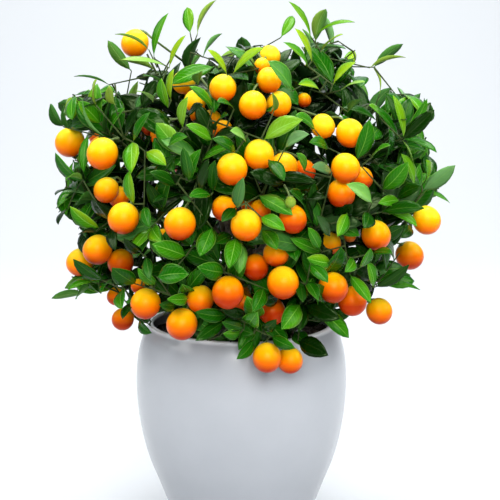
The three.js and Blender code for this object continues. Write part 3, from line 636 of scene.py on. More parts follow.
SHOOT_LEAVES_LIMB = 0.3
SHOOT_BENDS = [0, 12, 22, 34, 46]
SHOOT_BENDS_AT = 0.6
SHOOT_RETREATS = [0, 0.06, 0.12, 0.18]
TRUNK_OWNER = -1
BARK_TONES = ((0.055, 0.04, 0.026), (0.27, 0.21, 0.14))
BARK_STRETCH = (1, 1, 0.22)
SHOOT_TIPS = [
  [318, 42, 0.9], [147, 54, 0.9], [96, 120, 0.9], [74, 190, 0.9], [86, 286, 0.9],
  [388, 284, 0.9], [416, 203, 0.9], [402, 128, 0.9], [260, 66, 0.86], [217, 66, 0.84],
  [172, 306, 0.96], [254, 333, 1.0], [322, 312, 0.94], [262, 192, 0.88], [196, 152, 0.88],
  [322, 226, 0.88],
]
FAR_SHOOTS = [[3, 180], [7, 180], [8, 180], [10, 180], [12, 180], [13, 180], [14, 180],
  [13, 110], [15, -110], [8, 110], [9, -110]]


def bezier(controls, shares):
    """Points of a Bezier curve: each control is blended by its Bernstein weight, the binomial
    number times powers of the share and of what is left of one."""
    order = len(controls) - 1
    t = np.asarray(shares, dtype=float)[:, None]
    return sum(math.comb(order, k) * (1 - t)**(order - k) * t**k * control
               for k, control in enumerate(controls))


def bent_controls(start, direction, end, owner):
    """Controls of a cubic that leaves its start in a direction. The late one is shifted aside in
    eight directions by growing steps until the curve is clear."""
    reach = math.dist(start, end)
    sideways = any_sideways(direction)
    lift = np.cross(direction, sideways)
    for bend in SHOOT_BENDS:
        for turn in range(8 if bend else 1):
            angle = turn * math.pi / 4
            late = (start + (end - start) * SHOOT_BENDS_AT + sideways * bend * math.cos(angle)
                    + lift * bend * math.sin(angle))
            controls = [start, start + direction * SHOOT_LEAVES_LIMB * reach, late, end]
            centres = rod_centres(bezier(controls, np.linspace(0, 1, 7)))
            if is_clear(centres, np.full(len(centres), SHOOT_BALL), owner):
                return controls, centres
    return None, None


def grow_shoot(tip, owner):
    """A limb from the trunk towards a tip, and the shoot that goes on to that tip."""
    for share in SHOOT_RETREATS:
        end = tip + (CROWN - tip) * share
        seat = HEAD + (end - HEAD) * LIMB_REACH + UP * LIMB_RISE
        root = HEAD - UP * (LIMB_HIGHEST + LIMB_SPREAD * ((len(sprays) * LIMB_TURN) % 1))
        elbow = (root + seat) / 2 + UP * LIMB_ARCH * math.dist(root, seat)
        direction = unit(seat - elbow)
        start = seat + direction * GAP
        controls, centres = bent_controls(start, direction, end, owner)
        if controls is None:
            continue
        limb = [root, elbow, seat]
        limbs.append(limb)
        limb_centres = rod_centres(bezier(limb, np.linspace(0, 1, 6)))
        placed.add(limb_centres, LIMB_BALL, TRUNK_OWNER)
        placed.add(centres, SHOOT_BALL, owner)
        points = bezier(controls, np.linspace(0, 1, SHOOT_STEPS + 1))
        taper = (SEAT_RADIUS - STEM_TIP_RADIUS) / SHOOT_STEPS
        wood = [{"a": a, "b": b, "radius": SEAT_RADIUS - index * taper}
                for index, (a, b) in enumerate(zip(points, points[1:]))]
        sprays.append({"owner": owner, "controls": controls, "wood": wood, "feet": [],
                       "leaves": [], "twigs": []})
        return
    raise ValueError(f"no way for shoot {owner}")


limbs = []
sprays = []
shoot_ends = [seen_on_shell(*row) for row in SHOOT_TIPS]
shoot_ends += [turned_point(shoot_ends[which], turn) for which, turn in FAR_SHOOTS]
for number, shoot_end in enumerate(shoot_ends):
    grow_shoot(shoot_end, number)


def tube(path, radii, sides, roughness=0.0, seed=0):
    """Rings along a path, square to it: each ring point is the path's point plus the cosine and
    sine of its turn times two directions carried along the path, times the radius there."""
    path = np.asarray(path)
    ahead = unit(np.gradient(path, axis=0))
    across = np.zeros_like(path)
    across[0] = any_sideways(ahead[0])
    for index in range(1, len(path)):
        carried = across[index - 1]
        across[index] = unit(carried - ahead[index] * (carried @ ahead[index]))
    upright = np.cross(ahead, across)
    turn = np.linspace(0, 2 * math.pi, sides, endpoint=False)
    rough = np.random.default_rng(seed).uniform(-roughness, roughness, (len(path), sides))
    size = np.asarray(radii)[:, None] * (1 + rough)
    return (path[:, None, :] + (size * np.cos(turn))[..., None] * across[:, None, :]
            + (size * np.sin(turn))[..., None] * upright[:, None, :]).reshape(-1, 3)


def joined(parts):
    """Puts many grids of rings into one list of points and faces. Each part is its points and the
    number of points in a ring, and gets a cap at each end."""
    points, quads, caps = [], [], []
    start = 0
    for part, sides in parts:
        rows = len(part) // sides
        points.append(part)
        quads.append(grid_faces(rows, sides, True) + start)
        caps.append(range(start + sides - 1, start - 1, -1))
        caps.append(range(start + (rows - 1) * sides, start + rows * sides))
        start += len(part)
    return np.vstack(points), np.vstack(quads), caps


trunk_path = np.vstack([
    np.linspace([0, 0, TRUNK_FOOT], [0, 0, SOIL_TOP - 6], BURIED_RINGS),
    bezier([np.array([0, 0, SOIL_TOP - 2.0]), SWAY, HEAD], np.linspace(0, 1, TRUNK_RINGS))])
trunk_heights = trunk_path[:, 2]
trunk_flare = ROOT_FLARE * np.exp(-np.abs(trunk_heights - SOIL_TOP) / FLARE_HEIGHT)
trunk_radii = np.interp(trunk_heights, [TRUNK_FOOT, SOIL_TOP, HEAD[2]],
                        [FOOT_RADIUS, TRUNK_WAIST, HEAD_RADIUS])
trunk_radii = trunk_radii + trunk_flare * (trunk_heights > SOIL_TOP - 4)
cap_heights, cap_shares = np.array(HEAD_CAP).T
trunk_parts = [
    (tube(trunk_path, trunk_radii, TRUNK_SIDES, TRUNK_ROUGHNESS, 5), TRUNK_SIDES),
    (tube(HEAD + UP * cap_heights[:, None], HEAD_RADIUS * cap_shares, TRUNK_SIDES), TRUNK_SIDES)]
for number, limb in enumerate(limbs):
    limb_radii = np.linspace(LIMB_RADIUS, SEAT_RADIUS + 0.1, LIMB_STEPS)
    limb_path = bezier(limb, np.linspace(0, 1, LIMB_STEPS))
    limb_tube = tube(limb_path, limb_radii, LIMB_SIDES, LIMB_ROUGHNESS, number)
    trunk_parts.append((limb_tube, LIMB_SIDES))
trunk = new_piece("trunk_and_limbs", *joined(trunk_parts))
bark = mottled_finish("grey_brown_bark", 420.0, *BARK_TONES, 0.8, 0.0012, BARK_STRETCH,
                      Roughness=0.85)
trunk.data.materials.append(bark)
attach(trunk, "root")
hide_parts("trunk")

# Stalks: each bunch hangs on a thin green stem that grows from the side of the nearest shoot and
# forks to its fruits. Their ways are found here; their tubes are made with the fruits.
STALK_RADIUS = 1.4
STALK_INTO_FRUIT = 0.86
FORK_STEP = 2.0
FORK_DEPTHS = [10, 16, 24]
FORK_SHIFTS = [0, 9, -9, 18, -18]
FORK_RISE = 4.0
SHARPEST_STALK_BEND = 0.0
STEEPEST_STALK = 0.6
TWIG_REACH = 62.0
FOOT_SPACING = 4.8
LEAST_SPACING = 0.9
FIRST_FOOT = 0.05
LAST_FOOT = 0.93
OUTWARD_COST = 1.5
MOST_CHOICES = 24


def free_foot(spray, stretch, point):
    """The place on a stretch of wood nearest to the point, or one or two spacings along from it,
    that is clear of the feet already on that shoot."""
    a, b = stretch["a"], stretch["b"]
    ahead = b - a
    share = min(max(float((point - a) @ ahead / (ahead @ ahead)), FIRST_FOOT), LAST_FOOT)
    step = FOOT_SPACING / math.dist(a, b)
    for steps in [0, -1, 1, -2, 2]:
        choice = share + steps * step
        if FIRST_FOOT <= choice <= LAST_FOOT:
            foot = a + ahead * choice
            least = LEAST_SPACING * FOOT_SPACING
            if all(math.dist(other, foot) > least for other in spray["feet"]):
                return foot
    return None


def wood_near(point, reach_limit):
    """Places on the wood that a twig or stalk to the point could start from, nearest first, those
    farther out in the crown than the point counted as farther away."""
    out = math.dist(point, CROWN)
    near = []
    for spray in sprays:
        for stretch in spray["wood"]:
            middle = (stretch["a"] + stretch["b"]) / 2
            if math.dist(point, middle) - math.dist(middle, stretch["a"]) > reach_limit:
                continue
            foot = free_foot(spray, stretch, point)
            if foot is None:
                continue
            cost = math.dist(foot, point) + OUTWARD_COST * max(0.0, math.dist(foot, CROWN) - out)
            if cost < reach_limit:
                near.append((cost, len(near), spray, stretch, foot))
    return [choice[2:] for choice in sorted(near, key=lambda choice: choice[:2])[:MOST_CHOICES]]


def fork_choices(members):
    """Places for a bunch's fork: inward of its fruits' stalk ends by growing depths, aside by
    steps both ways, and a little up."""
    heads = [fruit["centre"] + fruit["axis"] * fruit["radius"] for fruit in members]
    middle = np.mean(heads, axis=0)
    inward = unit(CROWN - middle)
    aside = unit(np.cross(inward, UP))
    return [middle + inward * depth + aside * shift + UP * FORK_RISE
            for depth in FORK_DEPTHS for shift in FORK_SHIFTS]


def stem_to(bunch, fork, stretch, foot):
    """The stem from beside a stretch of wood to a fork, if it and the stalks beyond are clear."""
    direction = unit(fork - foot)
    lean = float(unit(stretch["b"] - stretch["a"]) @ direction)
    steep = math.sqrt(1 - lean * lean)
    stand_off = (stretch["radius"] + GAP + STALK_RADIUS * abs(lean)) / steep
    shortest = stand_off + FORK_STEP * len(bunch["members"]) + 2
    first = bunch["members"][0]
    bend = bend_at(foot, fork, first["centre"] + first["axis"] * first["radius"])
    if (steep < STEEPEST_STALK or bend < SHARPEST_STALK_BEND
            or math.dist(foot, fork) < shortest):
        return None
    paths = [[foot + direction * stand_off, fork]]
    paths += [[fork, fruit["centre"] + fruit["axis"] * fruit["radius"] * STALK_INTO_FRUIT]
              for fruit in bunch["members"]]
    centres = np.vstack([rod_centres(path) for path in paths])
    rest = centres[1:]
    clear = is_clear(rest, np.full(len(rest), STALK_RADIUS), bunch["owner"])
    return centres if clear else None


def hang_bunch(bunch):
    """Hangs a bunch on the nearest wood that its stalks can reach."""
    for fork in fork_choices(bunch["members"]):
        for spray, stretch, foot in wood_near(fork, 2 * TWIG_REACH):
            centres = stem_to(bunch, fork, stretch, foot)
            if centres is not None:
                spray["feet"].append(foot)
                bunch["foot"], bunch["fork"] = foot, fork
                placed.add(centres, STALK_RADIUS, bunch["owner"])
                return
    raise ValueError(f"no stalk for bunch {bunch['owner']}")


for bunch in bunches:
    hang_bunch(bunch)

# Leaf places: those that stand out in the picture by the columns and rows of their base and tip,
# some of them repeated round the other sides, and a few more on each shoot.
BLADE_ARCH = 0.07
LEAF_LENGTH = 46.0
LEAF_WIDTH = 17.0
DIRECT_REACH = 15.0
SHARPEST_BEND = 0.3
TWIG_TIP_RADIUS = 1.4
LEAF_CLEARANCE = 1.6
GOLDEN_ANGLE = math.radians(137.5)
CROWN_SHOOT_LEAVES = [
  [311, 38, 290, 1, 9], [319, 37, 326, 8, 13], [325, 42, 353, 19, 9], [321, 52, 343, 34, 9],
  [312, 62, 296, 28, 13], [308, 67, 286, 41, 8], [327, 95, 315, 68, 15], [333, 85, 355, 62, 13],
  [341, 90, 364, 80, 10], [339, 121, 335, 88, 13], [348, 112, 361, 97, 12],
]
RIGHT_LEAVES = [
  [402, 140, 387, 92, 11], [404, 138, 395, 95, 10], [406, 136, 428, 100, 9],
  [402, 140, 434, 110, 14], [398, 142, 372, 105, 11], [404, 148, 437, 150, 9],
  [423, 190, 455, 166, 15], [422, 185, 427, 160, 17], [358, 172, 400, 156, 10],
  [382, 190, 408, 163, 17], [382, 212, 423, 207, 14], [372, 203, 348, 184, 15],
  [375, 208, 364, 228, 15], [356, 160, 370, 121, 17], [345, 160, 334, 131, 18],
]
LOWER_RIGHT_LEAVES = [
  [375, 287, 409, 266, 10], [350, 275, 371, 303, 13], [305, 305, 340, 319, 18],
  [300, 304, 282, 329, 20], [305, 312, 299, 331, 11], [298, 341, 327, 355, 19],
  [253, 340, 237, 359, 11], [272, 337, 294, 348, 12], [347, 213, 338, 236, 13],
  [331, 263, 309, 258, 15], [322, 252, 291, 238, 12], [310, 265, 328, 282, 13],
]
LOWER_LEFT_LEAVES = [
  [227, 315, 196, 312, 14], [225, 321, 197, 340, 13], [139, 320, 151, 333, 9],
  [124, 288, 122, 309, 15], [188, 298, 169, 299, 11], [157, 277, 189, 274, 20],
  [136, 284, 112, 268, 20], [162, 226, 140, 256, 17], [102, 280, 73, 260, 14],
  [96, 283, 68, 289, 10], [100, 228, 70, 207, 14], [68, 208, 57.5, 224, 9],
]
LEFT_LEAVES = [
  [108, 133, 78, 101, 14], [120, 138, 107, 99, 18], [125, 138, 139, 106, 13],
  [133, 142, 150, 112, 11], [115, 105, 107, 86, 11], [96, 105, 96.5, 79, 9],
  [80, 112, 88, 93, 10], [64, 127, 48, 104, 14], [70, 125, 62, 105, 10],
  [88, 135, 83, 172, 11], [137, 148, 131, 173, 17], [146, 152, 165, 164, 14],
  [176, 185, 150, 172, 13], [165, 213, 147, 183, 14], [144, 207, 148, 226, 12],
  [83, 180, 65, 177, 9], [71, 186, 55, 195, 9],
]
UPPER_LEFT_LEAVES = [
  [154, 57, 168, 13, 10], [169, 68, 184, 35, 10], [153, 70, 123, 57, 9],
  [153, 102, 137, 90, 10], [160, 82, 143, 75, 10], [171, 100, 171, 70, 10],
]
TOP_LEAVES = [
  [292, 91, 268, 61, 20], [227, 75, 210, 49, 9], [240, 81, 262, 47, 13], [248, 57, 234, 48, 9],
  [198, 85, 198, 73, 12], [213, 108, 190, 86, 12], [260, 137, 256, 112, 13],
  [264, 140, 302, 119, 19], [285, 148, 309, 134, 14], [236, 152, 214, 138, 14],
  [332, 172, 312, 167, 13], [281, 187, 316, 181, 10], [237, 208, 243, 178, 12],
  [212, 228, 200, 256, 18], [232, 235, 215, 243, 13], [236, 238, 229, 267, 17],
  [261, 217, 284, 229, 14], [262, 230, 277, 249, 15], [328, 148, 310, 142, 14],
]
SEEN_LEAVES = [*CROWN_SHOOT_LEAVES, *RIGHT_LEAVES, *LOWER_RIGHT_LEAVES, *LOWER_LEFT_LEAVES,
               *LEFT_LEAVES, *UPPER_LEFT_LEAVES, *TOP_LEAVES]
SEEN_LEAF_SHELL = 0.95
NARROWEST_LEAF = 11.0
LEAF_FOOT = 0.18
FOOT_COVER = 0.6
FAR_SIDE_FROM = -25
FAR_STEP = 5
FAR_LEAVES = [[0, 180], [1, 180], [2, 110], [3, -110]]
DEPTH_TRIES = [0, -9, 9, -18, 18, -28, 28, -40, 40]
SEEN_FACE_UP = 0.7
SEEN_FACES_EYE = 0.6
FILL_LEAVES = 2
FILL_OUT = 0.8
FILL_AHEAD = 0.6
FILL_FACE_UP = 0.9
TURN_TRIES = [0, 40, -40, 80, -80, 120, -120, 160]


def leaf_frame(leaf):
    """A leaf's length and its directions: forward, to one side, and out of its upper face, which
    is the wanted facing less its part along the leaf."""
    length = math.dist(leaf["root"], leaf["tip"])
    forward = (leaf["tip"] - leaf["root"]) / length
    face = unit(leaf["face"] - forward * (leaf["face"] @ forward))
    return length, forward, np.cross(face, forward), face


def leaf_cover(leaf):
    """Balls along a blade's foot, and rows of five across its oval outline on its arched middle
    line."""
    length, forward, side, face = leaf_frame(leaf)
    foot = rod_centres([leaf["root"], leaf["root"] + forward * LEAF_FOOT * length])
    share = (0.2 + 0.08 * np.arange(11))[:, None]
    half = 0.5 * leaf["width"] * np.sqrt(np.maximum(0, 1 - (2 * share - 1)**2))
    middle = (leaf["root"] + forward * length * share
              + face * 4 * BLADE_ARCH * length * share * (1 - share))
    across = np.array([-1, -0.5, 0, 0.5, 1])[None, :, None]
    blade = (middle[:, None, :] + side * half[:, None, :] * across).reshape(-1, 3)
    radii = np.repeat([FOOT_COVER, LEAF_CLEARANCE], [len(foot), len(blade)])
    return np.vstack([foot, blade]), radii


def grow_leaf(leaf):
    """Sets a leaf on the nearest wood, on a twig of its own where that is some way off."""
    for spray, _, foot in wood_near(leaf["root"], TWIG_REACH):
        direct = math.dist(foot, leaf["root"]) < DIRECT_REACH
        if not direct and bend_at(foot, leaf["root"], leaf["tip"]) < SHARPEST_BEND:
            continue
        grown = {**leaf, "root": foot if direct else leaf["root"]}
        centres, radii = leaf_cover(grown)
        if not is_clear(centres, radii, spray["owner"], foot):
            continue
        if not direct:
            twig = rod_centres([foot, leaf["root"]])
            if not is_clear(twig, np.full(len(twig), TWIG_TIP_RADIUS), spray["owner"], foot):
                continue
            spray["wood"].append({"a": foot, "b": leaf["root"]})
            spray["twigs"].append([foot, leaf["root"]])
        spray["feet"].append(foot)
        spray["leaves"].append(grown)
        placed.add(centres, radii, spray["owner"])
        if not direct:
            placed.add(twig, TWIG_TIP_RADIUS, spray["owner"])
        return True
    return False


def seen_leaf(base_column, base_row, tip_column, tip_row, width, shift=0):
    """A leaf of the picture: its base lies on the crown's shell, moved along its sight line by
    shift, and it is as long as it looks, or longer and leaning to the eye."""
    line = sight_line(base_column, base_row)
    root = seen_on_shell(base_column, base_row, SEEN_LEAF_SHELL) + line * shift
    scale = math.dist(EYE, root) / FOCAL
    seen = scale * math.hypot(tip_column - base_column, tip_row - base_row)
    length = max(seen, 0.5 * seen + 0.5 * LEAF_LENGTH)
    lean = math.sqrt(length * length - seen * seen)
    tip = EYE + sight_line(tip_column, tip_row) * (math.dist(EYE, root) - lean)
    face = unit(root - CROWN) + UP * SEEN_FACE_UP - line * SEEN_FACES_EYE
    return {"root": root, "tip": tip, "face": face, "width": max(NARROWEST_LEAF, scale * width)}


def turned_leaf(leaf, turn):
    """The same leaf turned about the crown's axis."""
    return {"root": turned_point(leaf["root"], turn), "tip": turned_point(leaf["tip"], turn),
            "face": turned_direction(leaf["face"], turn), "width": leaf["width"]}


def grow_seen_leaf(row, turn):
    """Grows a leaf of the picture, or its repeat, a little nearer or farther if it has to."""
    for shift in DEPTH_TRIES:
        leaf = seen_leaf(*row, shift)
        if grow_leaf(turned_leaf(leaf, turn) if turn else leaf):
            return


def grow_filling_leaf(spray, index):
    """A leaf on a shoot's stretch, a golden angle round from the one before."""
    stretch = spray["wood"][SHOOT_STEPS - 1 - index % SHOOT_STEPS]
    root = (stretch["a"] + stretch["b"]) / 2
    forward = unit(stretch["b"] - stretch["a"])
    sideways = any_sideways(forward)
    lift = np.cross(forward, sideways)
    for extra in TURN_TRIES:
        angle = index * GOLDEN_ANGLE + math.radians(extra)
        heading = sideways * math.cos(angle) + lift * math.sin(angle)
        direction = unit(heading * FILL_OUT + forward * FILL_AHEAD)
        face = unit(root - CROWN) + UP * FILL_FACE_UP
        if grow_leaf({"root": root, "tip": root + direction * LEAF_LENGTH, "face": face,
                      "width": LEAF_WIDTH}):
            return


for row in SEEN_LEAVES:
    grow_seen_leaf(row, 0)
repeated_leaves = [row for row in SEEN_LEAVES if seen_leaf(*row)["root"][1] < FAR_SIDE_FROM]
for first, turn in FAR_LEAVES:
    for row in repeated_leaves[first::FAR_STEP]:
        grow_seen_leaf(row, turn)
for index in range(FILL_LEAVES):
    for spray in sprays:
        grow_filling_leaf(spray, index)

# Small fruits: unripe ones and ones deep between the leaves, each on a thin stalk of its own from
# the nearest wood. They are given like the bunches, with their unripeness last.
SMALL_FRUITS = [
  [304, 100, 14, 0.7, 0.0], [290.5, 202, 11, 1.02, 1.0],
  [262, 66, 16, 0.84, 0.0], [199, 115, 18, 0.74, 0.0], [138, 286, 14, 0.84, 0.0],
  [350, 236, 12, 0.84, 0.2], [163, 236, 14, 0.8, 0.0], [116, 296, 18, 0.82, 0.0],
  [249, 203, 18, 0.8, 0.0],
]
# How far small fruits are shifted deeper orange on the peel's ramp.
SMALL_ORANGE_SHIFT = 0.2
small_fruits = []
for *place, unripe in SMALL_FRUITS:
    fruit = place_fruit(*place, fruits)
    small_fruits.append({**fruit, "unripe": unripe, "ripe": SMALL_ORANGE_SHIFT})
    fruits.append(fruit)

# Foliage: the small glossy leaves between those. They are set where the picture shows one, singly
# round the shoots, round side twigs, and last where a sight line would pass through the crown.
# They keep inside the outline of the crown in the picture, from the left round the top.
CROWN_OUTLINE = np.array([
  [46, 103], [62, 101], [78, 91], [90, 92], [96, 77], [101, 96], [107, 84], [114, 90],
  [122, 106], [138, 103], [146, 108], [140, 90], [150, 92], [143, 74], [166, 70], [182, 69],
  [197, 71], [208, 76], [208, 46], [226, 62], [233, 47], [263, 45], [285, 58], [285, 38],
  [305, 54], [296, 26], [320, 50], [345, 34], [338, 56], [357, 60], [345, 76], [365, 78],
  [360, 96], [368, 112], [372, 101], [386, 90], [400, 93], [428, 98], [436, 110], [418, 132],
  [437, 150], [418, 156], [440, 168], [456, 166], [443, 190], [428, 196], [425, 206], [414, 206],
  [420, 228], [402, 240], [392, 236], [393, 252], [378, 256], [376, 270], [410, 264], [398, 284],
  [374, 292], [372, 306], [346, 318], [330, 320], [306, 324], [300, 336], [328, 344], [328, 357],
  [310, 356], [296, 348], [272, 345], [236, 360], [238, 342], [198, 341], [186, 320], [168, 306],
  [158, 308], [150, 334], [138, 318], [122, 310], [112, 296], [98, 292], [68, 291], [66, 258],
  [84, 250], [84, 236], [68, 212], [56, 226], [66, 204], [54, 196], [66, 186], [64, 176],
  [80, 170], [72, 156], [66, 130]], dtype=float)
FRONT_TOP_LEAVES = [
  [246, 142, 232, 130, 13], [273.5, 112, 274, 93, 9], [268, 160, 284, 180, 13],
  [305, 171, 297, 153, 11], [284, 185, 250, 172, 16], [183, 128, 187, 97, 12],
  [212, 140, 188, 124, 14], [168, 147, 186, 136, 11], [320, 91, 300, 83, 11],
  [315, 130, 296, 115, 14], [234, 109, 219, 100, 12], [187, 119, 201, 104, 11],
  [380, 118, 371, 104, 9], [371, 158, 389, 144, 12], [414, 186, 402, 154, 14],
  [168, 108, 160, 80, 12]
]
FRONT_MIDDLE_LEAVES = [
  [235, 208, 222, 221, 12], [189, 181, 183, 147, 12], [191, 180, 199, 150, 9], [200, 192, 208, 159, 10],
  [211, 195, 190, 196, 9], [213, 192, 214, 162, 11], [397, 199, 420, 186, 13], [399, 200, 379, 203, 8],
  [389, 214, 417, 226, 10], [412, 228, 402, 238, 9], [330, 236, 318, 216, 12], [320, 249, 309, 228, 10],
  [134, 204, 128, 172, 13], [108, 220, 92, 199, 14], [96, 232, 80, 232, 10], [111, 229, 114, 249, 13]
]
FRONT_LOWER_LEAVES = [
  [146, 257, 150, 280, 10], [141, 253, 124, 240, 9], [113, 283, 101, 291, 9], [134, 302, 122, 318, 12],
  [176, 306, 160, 305, 8], [224, 272, 198, 267, 18], [186, 256, 152, 244, 18], [156, 285, 138, 270, 12],
  [353, 258, 345, 272, 11], [373, 287, 368, 262, 12], [372, 253, 391, 251, 9], [360, 268, 371, 250, 12],
  [307, 282, 318, 299, 10], [263, 288, 253, 311, 14], [264, 330, 276, 320, 9], [246, 318, 222, 310, 12],
  [244, 328, 222, 322, 12], [240, 334, 224, 334, 9], [300, 282, 303, 301, 9]
]
FRONT_SHIFTS = [0, -6, -12, -18, 8, 16]
FRONT_BESIDE_FRUIT = 1.5
FRONT_OFF_POT = 1.0
FRONT_FACES_PASSED = [0.9, 0.0]
SIDE_TWIG_SHARES = [0.26, 0.38, 0.5, 0.6, 0.7, 0.8, 0.9]
SIDE_TWIG_TRIES = 5
SIDE_TWIG_LENGTH = 40.0
SIDE_TWIG_GROWTH = (0.7, 1.2)
SIDE_TWIG_OUT = 0.9
SIDE_TWIG_AHEAD = 0.55
SIDE_TWIG_UP = 0.15
SIDE_TWIG_LEAVES = 5
STEM_LEAF_STEP = 8.0
STEM_LEAF_OUT = 0.85
STEM_LEAF_AHEAD = (0.3, 0.9)
STEM_LEAF_UP = 0.1
TWIG_LEAF_OUT = 0.9
TWIG_LEAF_AHEAD = (0.5, 0.9)
DEEP_FRUIT = 0.87
OPEN_FACE = 0.85
COVERED_FACE = 0.3
GAP_LATTICE = 7.0
GAP_WIDTH = 2.0
GAP_SHELLS = [0.86, 0.72, 0.58, 0.42, 0.8]
GAP_TWIG_REACH = 80.0
GAP_SCATTER = 2.0
FRONT_HALF_TO = 20.0
FOLIAGE_SHELL = 1.03
SIDE_TWIG_SHELL = 0.93
BESIDE_FRUIT = 1.0
TWIG_BESIDE_FRUIT = 2.0
GAP_BESIDE_FRUIT = 3.0
OFF_POT = 2.0
TWIG_OFF_POT = 1.5
FOOT_TRIES = slice(0, 60, 4)
WOOD_FROM = 0.1
WOOD_STEPS = 37
DOT_SHARES = np.array([0.25, 0.45, 0.65, 0.85])
DOT_HALF = 0.4
FACES_EYE = 0.35
GAP_FACES_EYE = 0.8
FACES_UP = (0.4, 1.2)
FACE_SCATTER = 0.25
TWIG_BARE = 0.35
GAP_TWIG_BARE = 0.6
STEM_BARE = 0.22
STEM_LEAF_LENGTHS = (36, 52)
TWIG_LEAF_LENGTHS = (32, 50)
LEAF_SLIMNESS = (0.36, 0.48)
PATH_STEPS = 40
growth = np.random.default_rng(7)
fruit_centres = np.array([fruit["centre"] for fruit in fruits])
fruit_radii = np.array([fruit["radius"] for fruit in fruits])
fruit_views = np.where(fruit_centres[:, 1:2] < FRONT_HALF_TO, unit(EYE - fruit_centres),
                       unit(fruit_centres - CROWN))
fruit_faces = np.where(shell_of(fruit_centres) > DEEP_FRUIT, OPEN_FACE, COVERED_FACE)
wood_points = np.zeros((0, 3))
wood_sprays = np.zeros(0, dtype=int)


def picture_places(points):
    """The column, row and scale in picture steps per millimetre at which points are seen: their
    offset from the eye along the picture's three directions, the first two over the third."""
    offset = points - EYE
    ahead = offset[:, 1] * math.cos(DOWNWARD) - offset[:, 2] * math.sin(DOWNWARD)
    below = -offset[:, 1] * math.sin(DOWNWARD) - offset[:, 2] * math.cos(DOWNWARD)
    scale = FOCAL / ahead
    return np.stack([MIDDLE + offset[:, 0] * scale, MIDDLE + below * scale], axis=-1), scale


def in_outline(places):
    """True for each column and row from which a line to the right crosses the outline an odd
    number of times."""
    start, end = CROWN_OUTLINE, np.roll(CROWN_OUTLINE, -1, axis=0)
    column, row = places[:, :1], places[:, 1:]
    straddles = (start[:, 1] > row) != (end[:, 1] > row)
    rise = np.where(end[:, 1] == start[:, 1], 1, end[:, 1] - start[:, 1])
    crossing = start[:, 0] + (end[:, 0] - start[:, 0]) * (row - start[:, 1]) / rise
    return (straddles & (column < crossing)).sum(axis=1) % 2 == 1


def off_the_fruits(points, room=BESIDE_FRUIT, share=1.0):
    """True if the points stay outside every fruit and out of the tube that leads from its centre
    to where it is seen from, as wide as its open face times a share."""
    offset = points[:, None, :] - fruit_centres[None, :, :]
    if (np.linalg.norm(offset, axis=2) < fruit_radii + room).any():
        return False
    ahead = (offset * fruit_views).sum(axis=2)
    aside = np.linalg.norm(offset - ahead[..., None] * fruit_views, axis=2)
    return not ((ahead > 0) & (aside < share * fruit_faces * fruit_radii)).any()


def off_the_pot(points, radius):
    """True if balls of one radius at the points are all clear of the pot."""
    return clear_of_pot(points, np.full(len(points), radius)).all()


def add_wood(path, number):
    """Notes points of a twig or stem of a shoot, from which others may start."""
    global wood_points, wood_sprays
    wood_points = np.vstack([wood_points, path])
    wood_sprays = np.concatenate([wood_sprays, np.full(len(path), number)])


def twig_to(point, reach, share):
    """Joins a point to the nearest wood that a twig reaches past the fruits, and returns the
    shoot, or None."""
    distance = np.linalg.norm(wood_points - point, axis=1)
    for index in np.argsort(distance)[FOOT_TRIES]:
        if distance[index] > reach:
            break
        centres = rod_centres([wood_points[index], point])
        if off_the_fruits(centres, BESIDE_FRUIT, share) and off_the_pot(centres, TWIG_OFF_POT):
            spray = sprays[wood_sprays[index]]
            spray["twigs"].append([wood_points[index], point])
            add_wood(centres[len(centres) // 2:], wood_sprays[index])
            return spray
    return None


def grow_front_leaf(row):
    """A leaf of the picture on a thin twig, nearer or farther if it would meet a fruit."""
    for shift in FRONT_SHIFTS:
        leaf = seen_leaf(*row, shift)
        points = leaf["root"] + (leaf["tip"] - leaf["root"]) * np.linspace(0, 1, 7)[:, None]
        if off_the_fruits(points, FRONT_BESIDE_FRUIT, 0.0) and off_the_pot(points, FRONT_OFF_POT):
            for share in FRONT_FACES_PASSED:
                spray = twig_to(leaf["root"], GAP_TWIG_REACH, share)
                if spray:
                    spray["foliage"].append(leaf)
                    return


def foliage_leaf(root, direction, size, spray, toward=FACES_EYE):
    """Adds a leaf from a root along a direction if it stays in the crown and its outline and off
    fruits and pot. Its face turns outward and up, and toward the eye by a share."""
    tip = root + unit(direction) * size
    points = root + (tip - root) * np.linspace(0.2, 1, 5)[:, None]
    if shell_of(points).max() > FOLIAGE_SHELL or not off_the_pot(points, OFF_POT):
        return
    if not off_the_fruits(points) or not in_outline(picture_places(points[1:])[0]).all():
        return
    face = (unit(root - CROWN) + UP * growth.uniform(*FACES_UP)
            + growth.normal(0, FACE_SCATTER, 3) + unit(EYE - root) * toward)
    spray["foliage"].append({"root": root, "tip": tip, "face": face,
                             "width": size * growth.uniform(*LEAF_SLIMNESS)})


def leaves_round(start, end, first_reach, toward, spray):
    """Leaves along a twig from a share of its length on, each a golden angle round from the one
    before, and one that goes on from its tip."""
    direction = unit(end - start)
    around = any_sideways(direction)
    spin = growth.uniform(0, 2 * math.pi)
    for reach in np.linspace(first_reach, 1, SIDE_TWIG_LEAVES + 1):
        out = around * math.cos(spin) + np.cross(direction, around) * math.sin(spin)
        spread = TWIG_LEAF_OUT if reach < 1 else 0.0
        heading = out * spread + direction * growth.uniform(*TWIG_LEAF_AHEAD)
        size = growth.uniform(*TWIG_LEAF_LENGTHS)
        foliage_leaf(start + (end - start) * reach, heading, size, spray, toward)
        spin += GOLDEN_ANGLE


